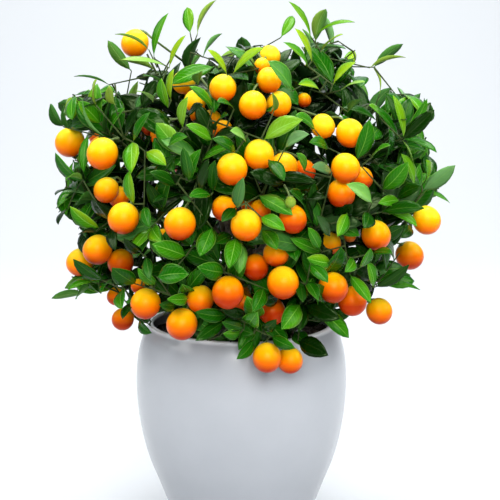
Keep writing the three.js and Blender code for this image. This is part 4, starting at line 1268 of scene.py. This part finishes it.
def grow_foliage(spray, number):
    """Leaves at even steps along the shoot, each a golden angle round from the one before, and
    leafy side twigs, each turned on until it passes the fruits."""
    path = bezier(spray["controls"], np.linspace(0, 1, PATH_STEPS + 1))
    ahead = unit(np.gradient(path, axis=0))
    sideways = any_sideways(ahead[0])
    turn = growth.uniform(0, 2 * math.pi)
    length = np.linalg.norm(np.diff(path, axis=0), axis=1).sum()

    def heading(place):
        across = unit(sideways - ahead[place] * (sideways @ ahead[place]))
        return across * math.cos(turn) + np.cross(ahead[place], across) * math.sin(turn)

    for share in np.arange(STEM_BARE, 1.0, STEM_LEAF_STEP / length):
        place = int(round(share * PATH_STEPS))
        direction = (heading(place) * STEM_LEAF_OUT
                     + ahead[place] * growth.uniform(*STEM_LEAF_AHEAD) + UP * STEM_LEAF_UP)
        foliage_leaf(path[place], direction, growth.uniform(*STEM_LEAF_LENGTHS), spray)
        turn += GOLDEN_ANGLE
    for share in SIDE_TWIG_SHARES:
        place = int(round(share * PATH_STEPS))
        for _ in range(SIDE_TWIG_TRIES):
            direction = unit(heading(place) * SIDE_TWIG_OUT + ahead[place] * SIDE_TWIG_AHEAD
                             + UP * SIDE_TWIG_UP)
            turn += GOLDEN_ANGLE
            end = path[place] + direction * SIDE_TWIG_LENGTH * growth.uniform(*SIDE_TWIG_GROWTH)
            centres = rod_centres([path[place], end])
            if (shell_of(end) < SIDE_TWIG_SHELL and off_the_fruits(centres, TWIG_BESIDE_FRUIT)
                    and off_the_pot(centres, OFF_POT)):
                spray["twigs"].append([path[place], end])
                add_wood(centres, number)
                leaves_round(path[place], end, TWIG_BARE, FACES_EYE, spray)
                break


def leaf_dots(leaves):
    """Places along leaves in the picture, and how far each leaf covers the picture round them."""
    roots = np.array([leaf["root"] for leaf in leaves])
    tips = np.array([leaf["tip"] for leaf in leaves])
    faces = np.array([leaf["face"] for leaf in leaves])
    ahead = unit(tips - roots)
    faces = unit(faces - ahead * (faces * ahead).sum(axis=1, keepdims=True))
    turned = np.abs((faces * unit(EYE - roots)).sum(axis=1))
    half = np.array([DOT_HALF * leaf["width"] for leaf in leaves]) * turned
    dots = roots + (tips - roots) * DOT_SHARES[:, None, None]
    places, scale = picture_places(dots.reshape(-1, 3))
    return places, np.tile(half, len(DOT_SHARES)) * scale


def grow_into_gaps(shell):
    """Leafy twigs to where a sight line of a lattice over the outline comes near no leaf or
    fruit, so far out in the crown."""
    low, high = CROWN_OUTLINE.min(axis=0), CROWN_OUTLINE.max(axis=0)
    columns, rows = np.meshgrid(np.arange(low[0], high[0], GAP_LATTICE),
                                np.arange(low[1], high[1], GAP_LATTICE))
    lattice = np.stack([columns.ravel(), rows.ravel()], axis=-1)
    lattice = lattice[in_outline(lattice)]
    lattice += growth.uniform(-GAP_SCATTER, GAP_SCATTER, lattice.shape)
    fruit_places, fruit_scale = picture_places(fruit_centres)
    leaves = [leaf for spray in sprays for leaf in spray["leaves"] + spray["foliage"]]
    leaf_places, leaf_cover_widths = leaf_dots(leaves)
    places = np.vstack([fruit_places, leaf_places])
    widths = np.concatenate([fruit_radii * fruit_scale, leaf_cover_widths])
    for target in lattice:
        if (np.linalg.norm(places - target, axis=1) - widths).min() < GAP_WIDTH:
            continue
        point = seen_on_shell(*target, shell)
        alone = point[None, :]
        if not off_the_fruits(alone, GAP_BESIDE_FRUIT) or not off_the_pot(alone, OFF_POT):
            continue
        spray = twig_to(point, GAP_TWIG_REACH, 1.0)
        if spray is None:
            continue
        before = len(spray["foliage"])
        start = spray["twigs"][-1][0]
        leaves_round(start, point, GAP_TWIG_BARE, GAP_FACES_EYE, spray)
        if len(spray["foliage"]) == before:
            spray["twigs"].pop()
        else:
            new_places, new_widths = leaf_dots(spray["foliage"][before:])
            places = np.vstack([places, new_places])
            widths = np.concatenate([widths, new_widths])


for number, spray in enumerate(sprays):
    spray["foliage"] = []
    add_wood(bezier(spray["controls"], np.linspace(WOOD_FROM, 1, WOOD_STEPS)), number)
    for foot, end in spray["twigs"]:
        add_wood(rod_centres([foot, end]), number)
for row in [*FRONT_TOP_LEAVES, *FRONT_MIDDLE_LEAVES, *FRONT_LOWER_LEAVES]:
    grow_front_leaf(row)
for number, spray in enumerate(sprays):
    grow_foliage(spray, number)
for shell in GAP_SHELLS:
    grow_into_gaps(shell)

# Leaves and their wood, one piece for each shoot: leathery elliptic blades with a pale midrib,
# folded up a little along it and arched down, on short stalks; the twigs are green-brown.
LEAF_STATIONS = np.array([0, 0.06, 0.14, 0.27, 0.42, 0.58, 0.73, 0.87, 1.0])
LEAF_ACROSS = np.array([-1, -0.5, 0, 0.5, 1])
BLADE_RING = 6
LEAF_THICKNESS = 0.45
PETIOLE = 0.08
PETIOLE_HALF = 0.55
LEAST_HALF = 0.06
LEAF_CAMBER = 0.1
# The least and most arch, droop, fold, sway and wave of a blade, and the phase of its wave.
LEAF_FORMS = [(0.04, 0.1), (0.0, 0.08), (0.12, 0.32), (-0.05, 0.05), (0.0, 0.07), (0, 6.28)]
# Stops of the ramps of colour from a dark leaf in painted shade to the youngest, above and below.
UPPER_TONES = [(0, (0.001, 0.01, 0.0)), (0.33, (0.008, 0.12, 0.001)),
               (0.62, (0.045, 0.24, 0.002)), (1, (0.3, 0.48, 0.004))]
UNDER_TONES = [(0, (0.002, 0.02, 0.001)), (0.33, (0.04, 0.17, 0.02)),
               (0.62, (0.1, 0.27, 0.03)), (1, (0.26, 0.42, 0.04))]
# The pale colours of midrib and veins, also used for the painted highlight along the leaf rims.
UPPER_RIB_AND_RIM_HIGHLIGHT = (0.22, 0.48, 0.06)
UNDER_RIB_AND_RIM_HIGHLIGHT = (0.28, 0.44, 0.12)
# The pale colour of a painted sheen, a reflection painted on some upper leaves.
PAINTED_SHEEN = (0.22, 0.48, 0.16)
TWIG_TONES = ((0.014, 0.035, 0.006), (0.06, 0.085, 0.02))
# Where leaves are young, how painted shade deepens the tones inward and downward, and how they scatter.
YOUNG_ABOVE = 470
YOUNG_OUT = 0.88
YOUNG_TONE = 0.3
DARK_WITHIN = 0.62
LIT_OVER = 0.3
INWARD_POWER = 2.1
LOW_LEAVES = 250
LOW_TONE = 0.62
RISE_TO_FULL = 450
TONE_SCATTER = (0.41, 0.32)
TONE_LIMITS = (0.02, 0.78)
# Painted light and shade: how much one half of a blade is lighter than the other across the fold.
LIT_HALVES_DIFFER = 0.4
SHEEN_SCATTER = (-0.6, 0.65)
MOST_SHEEN = 0.75
SHEEN_FROM = 300
SHEEN_RISE = 80
TWIG_RADII = (0.95, 0.6)
TWIG_SIDES = 5
TWIG_RINGS = 6
TWIG_SAG = 0.06
SHORTEST_TWIG = 1.0
SHOOT_SIDES = 8
SHOOT_RINGS = 18
SHOOT_TAPER = 0.6
SHOOT_ROUGHNESS = 0.05
FIRST_LEAF_SEED = 200


def leaf_blades(leaves, rng):
    """All blades of a shoot at once. Along a leaf, the half width is the half of its full width
    times (4s(1 - s)) to the power 0.8 past the stalk, and the middle line rises by
    4 arch s (1 - s) and falls by a droop s squared. Across it, the surface rises by the fold
    times the distance from the midrib and waves at the edge. Six points go round each station:
    five over the top and one under the midrib."""
    count, rows = len(leaves), len(LEAF_STATIONS)
    frames = [leaf_frame(leaf) for leaf in leaves]
    length = np.array([frame[0] for frame in frames])[:, None, None, None]
    forward, side, face = (np.array([frame[k] for frame in frames])[:, None, None, :]
                           for k in (1, 2, 3))
    root = np.array([leaf["root"] for leaf in leaves])[:, None, None, :]
    half = 0.5 * np.array([leaf["width"] for leaf in leaves])[:, None, None, None]
    s = LEAF_STATIONS[None, :, None, None]
    past = np.clip((s - PETIOLE) / (1 - PETIOLE), 0, 1)
    spread = half * (4 * past * (1 - past))**0.8 + PETIOLE_HALF * (1 - s) + LEAST_HALF
    arch, droop, fold, sway, wave, phase = (rng.uniform(*limits, (count, 1, 1, 1))
                                            for limits in LEAF_FORMS)
    x = np.append(LEAF_ACROSS, 0.0)[None, None, :, None]
    lift = spread * (fold * np.abs(x) + LEAF_CAMBER * (1 - (2 * np.abs(x) - 1)**2))
    lift = lift + spread * wave * np.abs(x) * np.sin(9 * s + phase + 1.3 * x)
    under = np.array([0, 0, 0, 0, 0, LEAF_THICKNESS])[None, None, :, None]
    points = (root + forward * length * s + side * (spread * x + sway * length * 4 * s * (1 - s))
              + face * (length * (4 * arch * s * (1 - s) - droop * s**2) + lift - under))
    return points.reshape(count, rows * BLADE_RING, 3)


def leaf_skin():
    """The faces of one blade, the underside flag of each, and the place along and across the
    blade of each of their corners."""
    rows = len(LEAF_STATIONS)
    quads = grid_faces(rows, BLADE_RING, True)[:, ::-1]
    along = np.repeat(LEAF_STATIONS, BLADE_RING)
    across = np.tile(np.append((LEAF_ACROSS + 1) / 2, 0.5), rows)
    under = (quads % BLADE_RING == BLADE_RING - 1).any(axis=1)
    return quads, under, np.stack([along[quads], across[quads]], axis=-1)


blade_quads, blade_under, blade_places = leaf_skin()


def maths(tree, kind, place, *values):
    """The result of a Math node from numbers and other nodes' outputs."""
    node = add_node(tree, "ShaderNodeMath", place, operation=kind)
    for index, value in enumerate(values):
        feed(tree, node.inputs[index], value)
    return node.outputs[0]


def vein_group():
    """Midrib and side veins from a place along and across a leaf: the midrib is where across is
    near one half, the side veins run at a slant as a wave of along less the distance from it, and
    a rim runs where across is near zero or one."""
    group = bpy.data.node_groups.new("leaf_veins", "ShaderNodeTree")
    face = group.interface
    face.new_socket("Place", in_out="INPUT", socket_type="NodeSocketVector")
    face.new_socket("Midrib", in_out="OUTPUT", socket_type="NodeSocketFloat")
    face.new_socket("Veins", in_out="OUTPUT", socket_type="NodeSocketFloat")
    face.new_socket("Rim", in_out="OUTPUT", socket_type="NodeSocketFloat")
    start = add_node(group, "NodeGroupInput", (-900, 0))
    split = add_node(group, "ShaderNodeSeparateXYZ", (-750, 0))
    end = add_node(group, "NodeGroupOutput", (500, 0))
    link = group.links.new
    link(start.outputs["Place"], split.inputs["Vector"])
    centred = maths(group, "SUBTRACT", (-600, 0), split.outputs["Y"], 0.5)
    off = maths(group, "ABSOLUTE", (-450, 0), centred)
    rib = add_node(group, "ShaderNodeMapRange", (-250, 200), From_Min=0.008, From_Max=0.034,
                   To_Min=1.0, To_Max=0.0)
    link(off, rib.inputs["Value"])
    slant = maths(group, "MULTIPLY_ADD", (-300, -50), off, -0.55, split.outputs["X"])
    wave = maths(group, "SINE", (0, -50), maths(group, "MULTIPLY", (-150, -50), slant, 58.0))
    vein = add_node(group, "ShaderNodeMapRange", (150, -50), From_Min=0.75, From_Max=1.0)
    link(wave, vein.inputs["Value"])
    rim = add_node(group, "ShaderNodeMapRange", (-250, -300), From_Min=0.43, From_Max=0.5)
    link(off, rim.inputs["Value"])
    link(rib.outputs["Result"], end.inputs["Midrib"])
    link(vein.outputs["Result"], end.inputs["Veins"])
    link(rim.outputs["Result"], end.inputs["Rim"])
    return group


veins = vein_group()


def ramped(tree, place, factor, stops):
    """The colour of a ramp through its stops, the first at zero and the last at one."""
    node = add_node(tree, "ShaderNodeValToRGB", place)
    for position, _ in stops[1:-1]:
        node.color_ramp.elements.new(position)
    for element, (_, colour) in zip(node.color_ramp.elements, stops):
        element.color = (*colour, 1)
    tree.links.new(factor, node.inputs["Fac"])
    return node.outputs["Color"]


def leaf_finish(name, tones, rib_and_rim_highlight_colour, rim_highlight_share, **sockets):
    """A leaf's finish. Its colour goes from dark to young through four tones by the leaf's tone, whose
    dark end is painted shade, to a painted pale sheen by its sheen, and is lighter on veins and midrib,
    and on the rim as a painted highlight, the brighter its tone.
    The veins and midrib also dent the surface."""
    finish, tree, shader = new_finish(name, **sockets)
    link = tree.links.new
    place = add_node(tree, "ShaderNodeUVMap", (-1100, 200), uv_map="leaf_place")
    tone = add_node(tree, "ShaderNodeAttribute", (-1100, -100), attribute_name="leaf_tone_and_shade")
    marks = add_node(tree, "ShaderNodeGroup", (-900, 200), node_tree=veins)
    link(place.outputs["UV"], marks.inputs["Place"])
    coords = add_node(tree, "ShaderNodeTexCoord", (-1100, -400)).outputs["Object"]
    patch = add_mottle(tree, coords, 170.0, (0, 0, 0), (1, 1, 1))
    sheen = add_node(tree, "ShaderNodeAttribute", (-900, -300), attribute_name="leaf_painted_sheen")
    base = ramped(tree, (-900, -100), tone.outputs["Fac"], tones)
    base = blended(tree, (-700, 0), sheen.outputs["Fac"], base, PAINTED_SHEEN)
    patches = maths(tree, "MULTIPLY", (-700, -200), patch.outputs["Height"], 0.3)
    base = blended(tree, (-550, 0), patches, base, tones[0][1])
    # Veins and midrib are pale marks; the rim's lightening is a painted highlight along the edge. Both
    # are lighter where the tone is brighter.
    shares = (("Veins", 0.3), ("Rim", rim_highlight_share), ("Midrib", 1.2))
    for column, (mark, share) in zip((-400, -250, -100), shares):
        bright = maths(tree, "MULTIPLY", (column - 300, -350), tone.outputs["Fac"], share)
        lighter = maths(tree, "MULTIPLY", (column - 150, -200), marks.outputs[mark], bright)
        base = blended(tree, (column, 0), lighter, base, rib_and_rim_highlight_colour)
    link(base, shader.inputs["Base Color"])
    shallow = maths(tree, "MULTIPLY", (-550, -500), marks.outputs["Veins"], 0.4)
    dents = maths(tree, "MAXIMUM", (-400, -500), marks.outputs["Midrib"], shallow)
    add_bump(tree, shader, maths(tree, "MULTIPLY", (-300, -500), dents, -1.0), 0.5, 0.0004)
    return finish


leafy = leaf_finish("leaf_upper", UPPER_TONES, UPPER_RIB_AND_RIM_HIGHLIGHT, 1.6, Roughness=0.17, IOR=1.45,
                    Specular_IOR_Level=0.22, Specular_Tint=(0.72, 1.0, 0.45, 1))
leafy_under = leaf_finish("leaf_underside", UNDER_TONES, UNDER_RIB_AND_RIM_HIGHLIGHT, 0.3, Roughness=0.6,
                          Specular_IOR_Level=0.15)
twig_bark = mottled_finish("green_twig_bark", 300.0, *TWIG_TONES, 0.5, 0.0005, Roughness=0.7,
                           Specular_IOR_Level=0.2)


def leaf_tones_and_shade(leaves, rng):
    """The tone and painted sheen of each leaf's points. A tone is a scattered number, higher where
    leaves are young, times painted shade by how far in and how low the leaf stands; the halves differ
    as painted light and shade."""
    middles = np.array([(leaf["root"] + leaf["tip"]) / 2 for leaf in leaves])
    height, out = middles[:, 2], shell_of(middles)
    young = YOUNG_TONE * (height > YOUNG_ABOVE) * (out > YOUNG_OUT)
    # Painted shade: leaves deep in the crown and low down are darkened.
    lit = np.clip((out - DARK_WITHIN) / LIT_OVER, 0.02, 1)**INWARD_POWER
    lit = lit * np.clip(LOW_TONE + (height - LOW_LEAVES) / RISE_TO_FULL, LOW_TONE, 1)
    scattered = np.clip(rng.normal(*TONE_SCATTER, len(leaves)), *TONE_LIMITS)
    across = np.tile([*LEAF_ACROSS, 0], len(LEAF_STATIONS))
    # Painted light and shade: one half of each blade lighter, the other darker.
    lit_halves = rng.uniform(-1, 1, len(leaves))[:, None] * across
    tones = ((scattered + young) * lit)[:, None] * (1 + LIT_HALVES_DIFFER * lit_halves)
    # Painted sheen: some high, lit leaves are paled, more on one half of the blade.
    sheen = np.clip(rng.normal(*SHEEN_SCATTER, len(leaves)), 0, MOST_SHEEN) * lit
    sheen = sheen * np.clip((height - SHEEN_FROM) / SHEEN_RISE, 0, 1)
    sheens = sheen[:, None] * np.clip(0.7 + lit_halves, 0, 1)
    return tones.ravel(), sheens.ravel()


def carry(mesh, title, values):
    """Gives each point of a mesh a number, under a title by which a material reads it."""
    mesh.attributes.new(title, "FLOAT", "POINT").data.foreach_set("value", values)


def spray_piece(name, spray, rng):
    """One mesh of a shoot: its stem and twigs as tubes, then its blades with their places, tones
    and materials set corner by corner, point by point and face by face."""
    stem = bezier(spray["controls"], np.linspace(0, 1, SHOOT_RINGS))
    stem_radii = np.linspace(SEAT_RADIUS, STEM_TIP_RADIUS - SHOOT_TAPER, SHOOT_RINGS)
    parts = [(tube(stem, stem_radii, SHOOT_SIDES, SHOOT_ROUGHNESS), SHOOT_SIDES)]
    twig_radii = np.linspace(*TWIG_RADII, TWIG_RINGS)
    for foot, end in spray["twigs"]:
        span = math.dist(foot, end)
        if span > SHORTEST_TWIG:
            sag = any_sideways(unit(end - foot)) * span * rng.uniform(-TWIG_SAG, TWIG_SAG)
            path = bezier([foot, (foot + end) / 2 + sag, end], np.linspace(0, 1, TWIG_RINGS))
            parts.append((tube(path, twig_radii, TWIG_SIDES), TWIG_SIDES))
    wood_points, wood_quads, caps = joined(parts)
    leaves = spray["leaves"] + spray["foliage"]
    blades = leaf_blades(leaves, rng)
    per_blade = blades.shape[1]
    starts = len(wood_points) + np.arange(len(leaves))[:, None, None] * per_blade
    points = np.vstack([wood_points, blades.reshape(-1, 3)])
    quads = np.vstack([wood_quads, (blade_quads + starts).reshape(-1, 4)])
    last = per_blade - BLADE_RING
    caps += [range(start, start + BLADE_RING) for start in starts[:, 0, 0]]
    caps += [range(start + per_blade - 1, start + last - 1, -1) for start in starts[:, 0, 0]]
    piece = new_piece(name, points, quads, caps)
    mesh = piece.data
    for finish in (twig_bark, leafy, leafy_under):
        mesh.materials.append(finish)
    kinds = np.concatenate([np.zeros(len(wood_quads), dtype=int),
                            np.tile(np.where(blade_under, 2, 1), len(leaves)),
                            np.zeros(len(caps), dtype=int)])
    mesh.polygons.foreach_set("material_index", kinds)
    layer = mesh.uv_layers.new(name="leaf_place")
    places = np.zeros((len(mesh.loops), 2))
    first = 4 * len(wood_quads)
    places[first:first + len(leaves) * blade_places.size // 2] = np.tile(
        blade_places.reshape(-1, 2), (len(leaves), 1))
    layer.data.foreach_set("uv", places.ravel())
    for title, values in zip(("leaf_tone_and_shade", "leaf_painted_sheen"), leaf_tones_and_shade(leaves, rng)):
        carry(mesh, title, np.concatenate([np.zeros(len(wood_points)), values]))
    mesh.update()
    return piece


for number, spray in enumerate(sprays):
    piece = spray_piece(f"leafy_shoot_{number + 1:02d}", spray,
                        np.random.default_rng(FIRST_LEAF_SEED + number))
    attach(piece, "root")
    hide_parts(f"spray_{number + 1:02d}")

# Fruits: round kumquats with a finely pored, waxy peel, painted yellow on top as painted light and deep
# orange below as painted shade, each under a small green calyx on its stalk. One piece for each bunch.
FRUIT_RINGS = 15
FRUIT_SIDES = 24
FRUIT_BULGE = 0.02
LOW_FULLNESS = 0.03
DIMPLE_DEPTH = 0.07
DIMPLE_SPREAD = 0.3
CALYX_PROFILE = np.array([[1.3, 1.9], [2.3, 1.2], [3.7, 0.15], [3.5, -0.5], [1.6, -0.4]])
CALYX_LOBES = np.array([0, 0.1, 0.3, 0.3, 0])
CALYX_SIDES = 15
CALYX_SUNK = 0.065
STALK_SUNK = 0.1
STALK_RADII = (1.2, 1.0)
STALK_SIDES = 7
SMALL_STALK = 8
# Stops of the peel's ramp from the top down, painted light yellow to painted shade deep orange, an
# unripe peel, and the greens of stalks.
PEEL_TONES = [(0, (1.0, 0.72, 0.02)), (0.36, (0.96, 0.41, 0.0)),
              (0.68, (0.82, 0.15, 0.0)), (1, (0.42, 0.025, 0.0))]
UNRIPE_PEEL = (0.18, 0.3, 0.03)
STALK_TONES = ((0.05, 0.1, 0.02), (0.16, 0.24, 0.06))
FIRST_FRUIT_SEED = 500
SMALL_FRUIT_SEED = 77
# How far a fruit is shifted down the peel's ramp by chance, by painted shade for each millimetre under
# the crown's middle, and, for some fruits, by its bunch and its place in it, both counted from zero,
# partly for ripeness and partly as painted shade.
RIPENESS_SCATTER = 0.05
SHADED_ORANGE_BELOW = 0.0008
ORANGE_SHIFT_FRUITS = {
    (3, 0): 0.35, (3, 1): 0.15, (4, 2): 0.15, (5, 1): 0.3, (5, 2): -0.1,
    (6, 1): 0.2, (8, 1): 0.05, (9, 0): 0.3, (9, 1): 0.35, (11, 1): 0.05,
    (11, 2): 0.3, (11, 3): 0.35, (12, 0): 0.3, (13, 1): 0.2, (13, 2): 0.2,
    (14, 1): 0.4, (15, 2): 0.45, (16, 3): -0.2, (17, 1): -0.2, (17, 2): 0.15,
    (17, 3): -0.3, (18, 1): -0.25, (19, 1): 0.25, (19, 2): 0.3, (22, 0): 0.35,
    (22, 1): 0.2, (28, 0): 0.2, (28, 1): 0.2, (29, 0): 0.2, (29, 1): 0.2}


def rings_about(centre, axis, out, high, turn):
    """Rings of points about an axis, each point by its distance out, its height and its turn."""
    across = any_sideways(axis)
    upright = np.cross(axis, across)
    return (centre + (out * np.cos(turn))[..., None] * across
            + (out * np.sin(turn))[..., None] * upright
            + (high * np.ones_like(turn))[..., None] * axis).reshape(-1, 3)


def under_top(fruit, sunk):
    """The point on a fruit's axis that lies a share of its radius under its top."""
    return fruit["centre"] + fruit["axis"] * fruit["radius"] * (FRUIT_LENGTH_RATIO - sunk)


def fruit_skin(fruit, rng):
    """A ball turned about the fruit's axis: at each ring the distance out is the radius times the
    sine of the way down, a little fuller low down, and the height is the radius times the length
    ratio times its cosine, less a dimple about the stalk."""
    way = np.linspace(0.03, 0.985, FRUIT_RINGS)[:, None] * math.pi
    turn = np.linspace(0, 2 * math.pi, FRUIT_SIDES, endpoint=False)[None, :]
    radius = fruit["radius"]
    bulge = FRUIT_BULGE * np.sin(way)**2 * np.cos(3 * turn + rng.uniform(0, 6.28))
    full = 1 + bulge * rng.uniform(0, 1)
    out = radius * np.sin(way) * full * (1 - LOW_FULLNESS * np.cos(way))
    dimple = DIMPLE_DEPTH * np.exp(-(way / DIMPLE_SPREAD)**2)
    high = radius * (FRUIT_LENGTH_RATIO * np.cos(way) - dimple)
    return rings_about(fruit["centre"], fruit["axis"], out, high, turn)


def calyx_skin(fruit):
    """A small cap about the fruit's axis from its profile of [out, high]: the outer rings reach
    farther at five lobes, as one plus a share of the cosine of five turns."""
    turn = np.linspace(0, 2 * math.pi, CALYX_SIDES, endpoint=False)[None, :]
    lobes = 1 + CALYX_LOBES[:, None] * np.cos(5 * turn)
    out = CALYX_PROFILE[:, :1] * lobes * (0.7 + fruit["radius"] / 50)
    top = under_top(fruit, CALYX_SUNK)
    return rings_about(top, fruit["axis"], out, CALYX_PROFILE[:, 1:], turn)


peel, tree, shader = new_finish("orange_peel", Roughness=0.33, IOR=1.4, Subsurface_Weight=0.25,
                                Subsurface_Scale=0.005, Subsurface_Radius=(1.0, 0.4, 0.05),
                                Specular_IOR_Level=0.3, Specular_Tint=(1.0, 0.8, 0.35, 1))
down = add_node(tree, "ShaderNodeAttribute", (-1100, 0), attribute_name="way_down")
green = add_node(tree, "ShaderNodeAttribute", (-1100, -200), attribute_name="unripe")
colour = ramped(tree, (-900, 0), down.outputs["Fac"], PEEL_TONES)
colour = blended(tree, (-600, 0), green.outputs["Fac"], colour, UNRIPE_PEEL)
tree.links.new(colour, shader.inputs["Base Color"])
coords = add_node(tree, "ShaderNodeTexCoord", (-1100, -400)).outputs["Object"]
pores = add_node(tree, "ShaderNodeTexVoronoi", (-900, -400), feature="SMOOTH_F1", Scale=900.0)
tree.links.new(coords, pores.inputs["Vector"])
add_bump(tree, shader, pores.outputs["Distance"], 0.35, 0.0004)
stalk_green = mottled_finish("calyx_green", 420.0, *STALK_TONES, 0.5, 0.0004, Roughness=0.6)


def bunch_piece(name, members, paths, rng):
    """One mesh of a bunch: the fruits first, then the calyxes and the stalks' tubes. Each fruit's
    points carry the way down from its top, which paints light above and shade below, and how unripe it
    is."""
    skins = [(fruit_skin(fruit, rng), FRUIT_SIDES) for fruit in members]
    greens = [(calyx_skin(fruit), CALYX_SIDES) for fruit in members]
    greens += [(tube(path, np.linspace(*STALK_RADII, len(path)), STALK_SIDES), STALK_SIDES)
               for path in paths]
    points, quads, caps = joined(skins + greens)
    # The rings of fruits and calyxes run from the top down, so their faces are turned over.
    peel_faces = FRUIT_SIDES * (FRUIT_RINGS - 1) * len(members)
    turned_faces = peel_faces + CALYX_SIDES * (len(CALYX_PROFILE) - 1) * len(members)
    quads[:turned_faces] = quads[:turned_faces, ::-1]
    turned_caps = 4 * len(members)
    caps = [tuple(reversed(cap)) for cap in caps[:turned_caps]] + caps[turned_caps:]
    piece = new_piece(name, points, quads, caps)
    mesh = piece.data
    mesh.materials.append(peel)
    mesh.materials.append(stalk_green)
    kinds = np.ones(len(mesh.polygons), dtype=int)
    kinds[:peel_faces] = 0
    kinds[len(quads):len(quads) + 2 * len(members)] = 0
    mesh.polygons.foreach_set("material_index", kinds)
    per_fruit = FRUIT_SIDES * FRUIT_RINGS
    peel_points = per_fruit * len(members)
    heights = np.repeat([fruit["centre"][2] for fruit in members], per_fruit)
    radii = np.repeat([fruit["radius"] for fruit in members], per_fruit)
    orange_shifts = np.repeat(rng.normal(0.0, RIPENESS_SCATTER, len(members))
                         + [fruit.get("ripe", 0.0) for fruit in members], per_fruit)
    way, unripe = np.zeros((2, len(points)))
    # Painted light and shade: the way runs upright from each fruit's centre, so tops are lit yellow and
    # bottoms shaded deep orange, and lower fruits are shifted deeper orange.
    way[:peel_points] = (0.5 - 0.5 * (points[:peel_points, 2] - heights) / radii + orange_shifts
                         - SHADED_ORANGE_BELOW * (heights - CROWN[2]))
    unripe[:peel_points] = np.repeat([fruit.get("unripe", 0.0) for fruit in members], per_fruit)
    carry(mesh, "way_down", way)
    carry(mesh, "unripe", unripe)
    mesh.update()
    return piece


def stalk_paths(bunch):
    """A curve from the bunch's foot through its fork to each fruit's stalk end, which it enters
    along the fruit's axis."""
    paths = []
    for fruit in bunch["members"]:
        head = under_top(fruit, STALK_SUNK)
        above = head + fruit["axis"] * min(9.0, 0.4 * math.dist(head, bunch["fork"]))
        stem = bezier([bunch["foot"], bunch["fork"]], np.linspace(0, 0.9, 4))
        branch = bezier([bunch["fork"], above, head], np.linspace(0.1, 1, 7))
        paths.append(np.vstack([stem, branch]))
    return paths


for (number, index), ripe in ORANGE_SHIFT_FRUITS.items():
    bunches[number]["members"][index]["ripe"] = ripe
for number, bunch in enumerate(bunches):
    piece = bunch_piece(f"kumquats_{number + 1:02d}", bunch["members"], stalk_paths(bunch),
                        np.random.default_rng(FIRST_FRUIT_SEED + number))
    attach(piece, "root")
    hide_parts(f"fruit_{number + 1:02d}")

small_paths = []
for fruit in small_fruits:
    head = under_top(fruit, STALK_SUNK)
    away = np.linalg.norm(wood_points - head - fruit["axis"] * SMALL_STALK, axis=1)
    foot = wood_points[np.argmin(away)]
    small_paths.append(bezier([foot, head + fruit["axis"] * 6, head], np.linspace(0, 1, 7)))
small = bunch_piece("small_kumquats", small_fruits, small_paths,
                    np.random.default_rng(SMALL_FRUIT_SEED))
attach(small, "root")
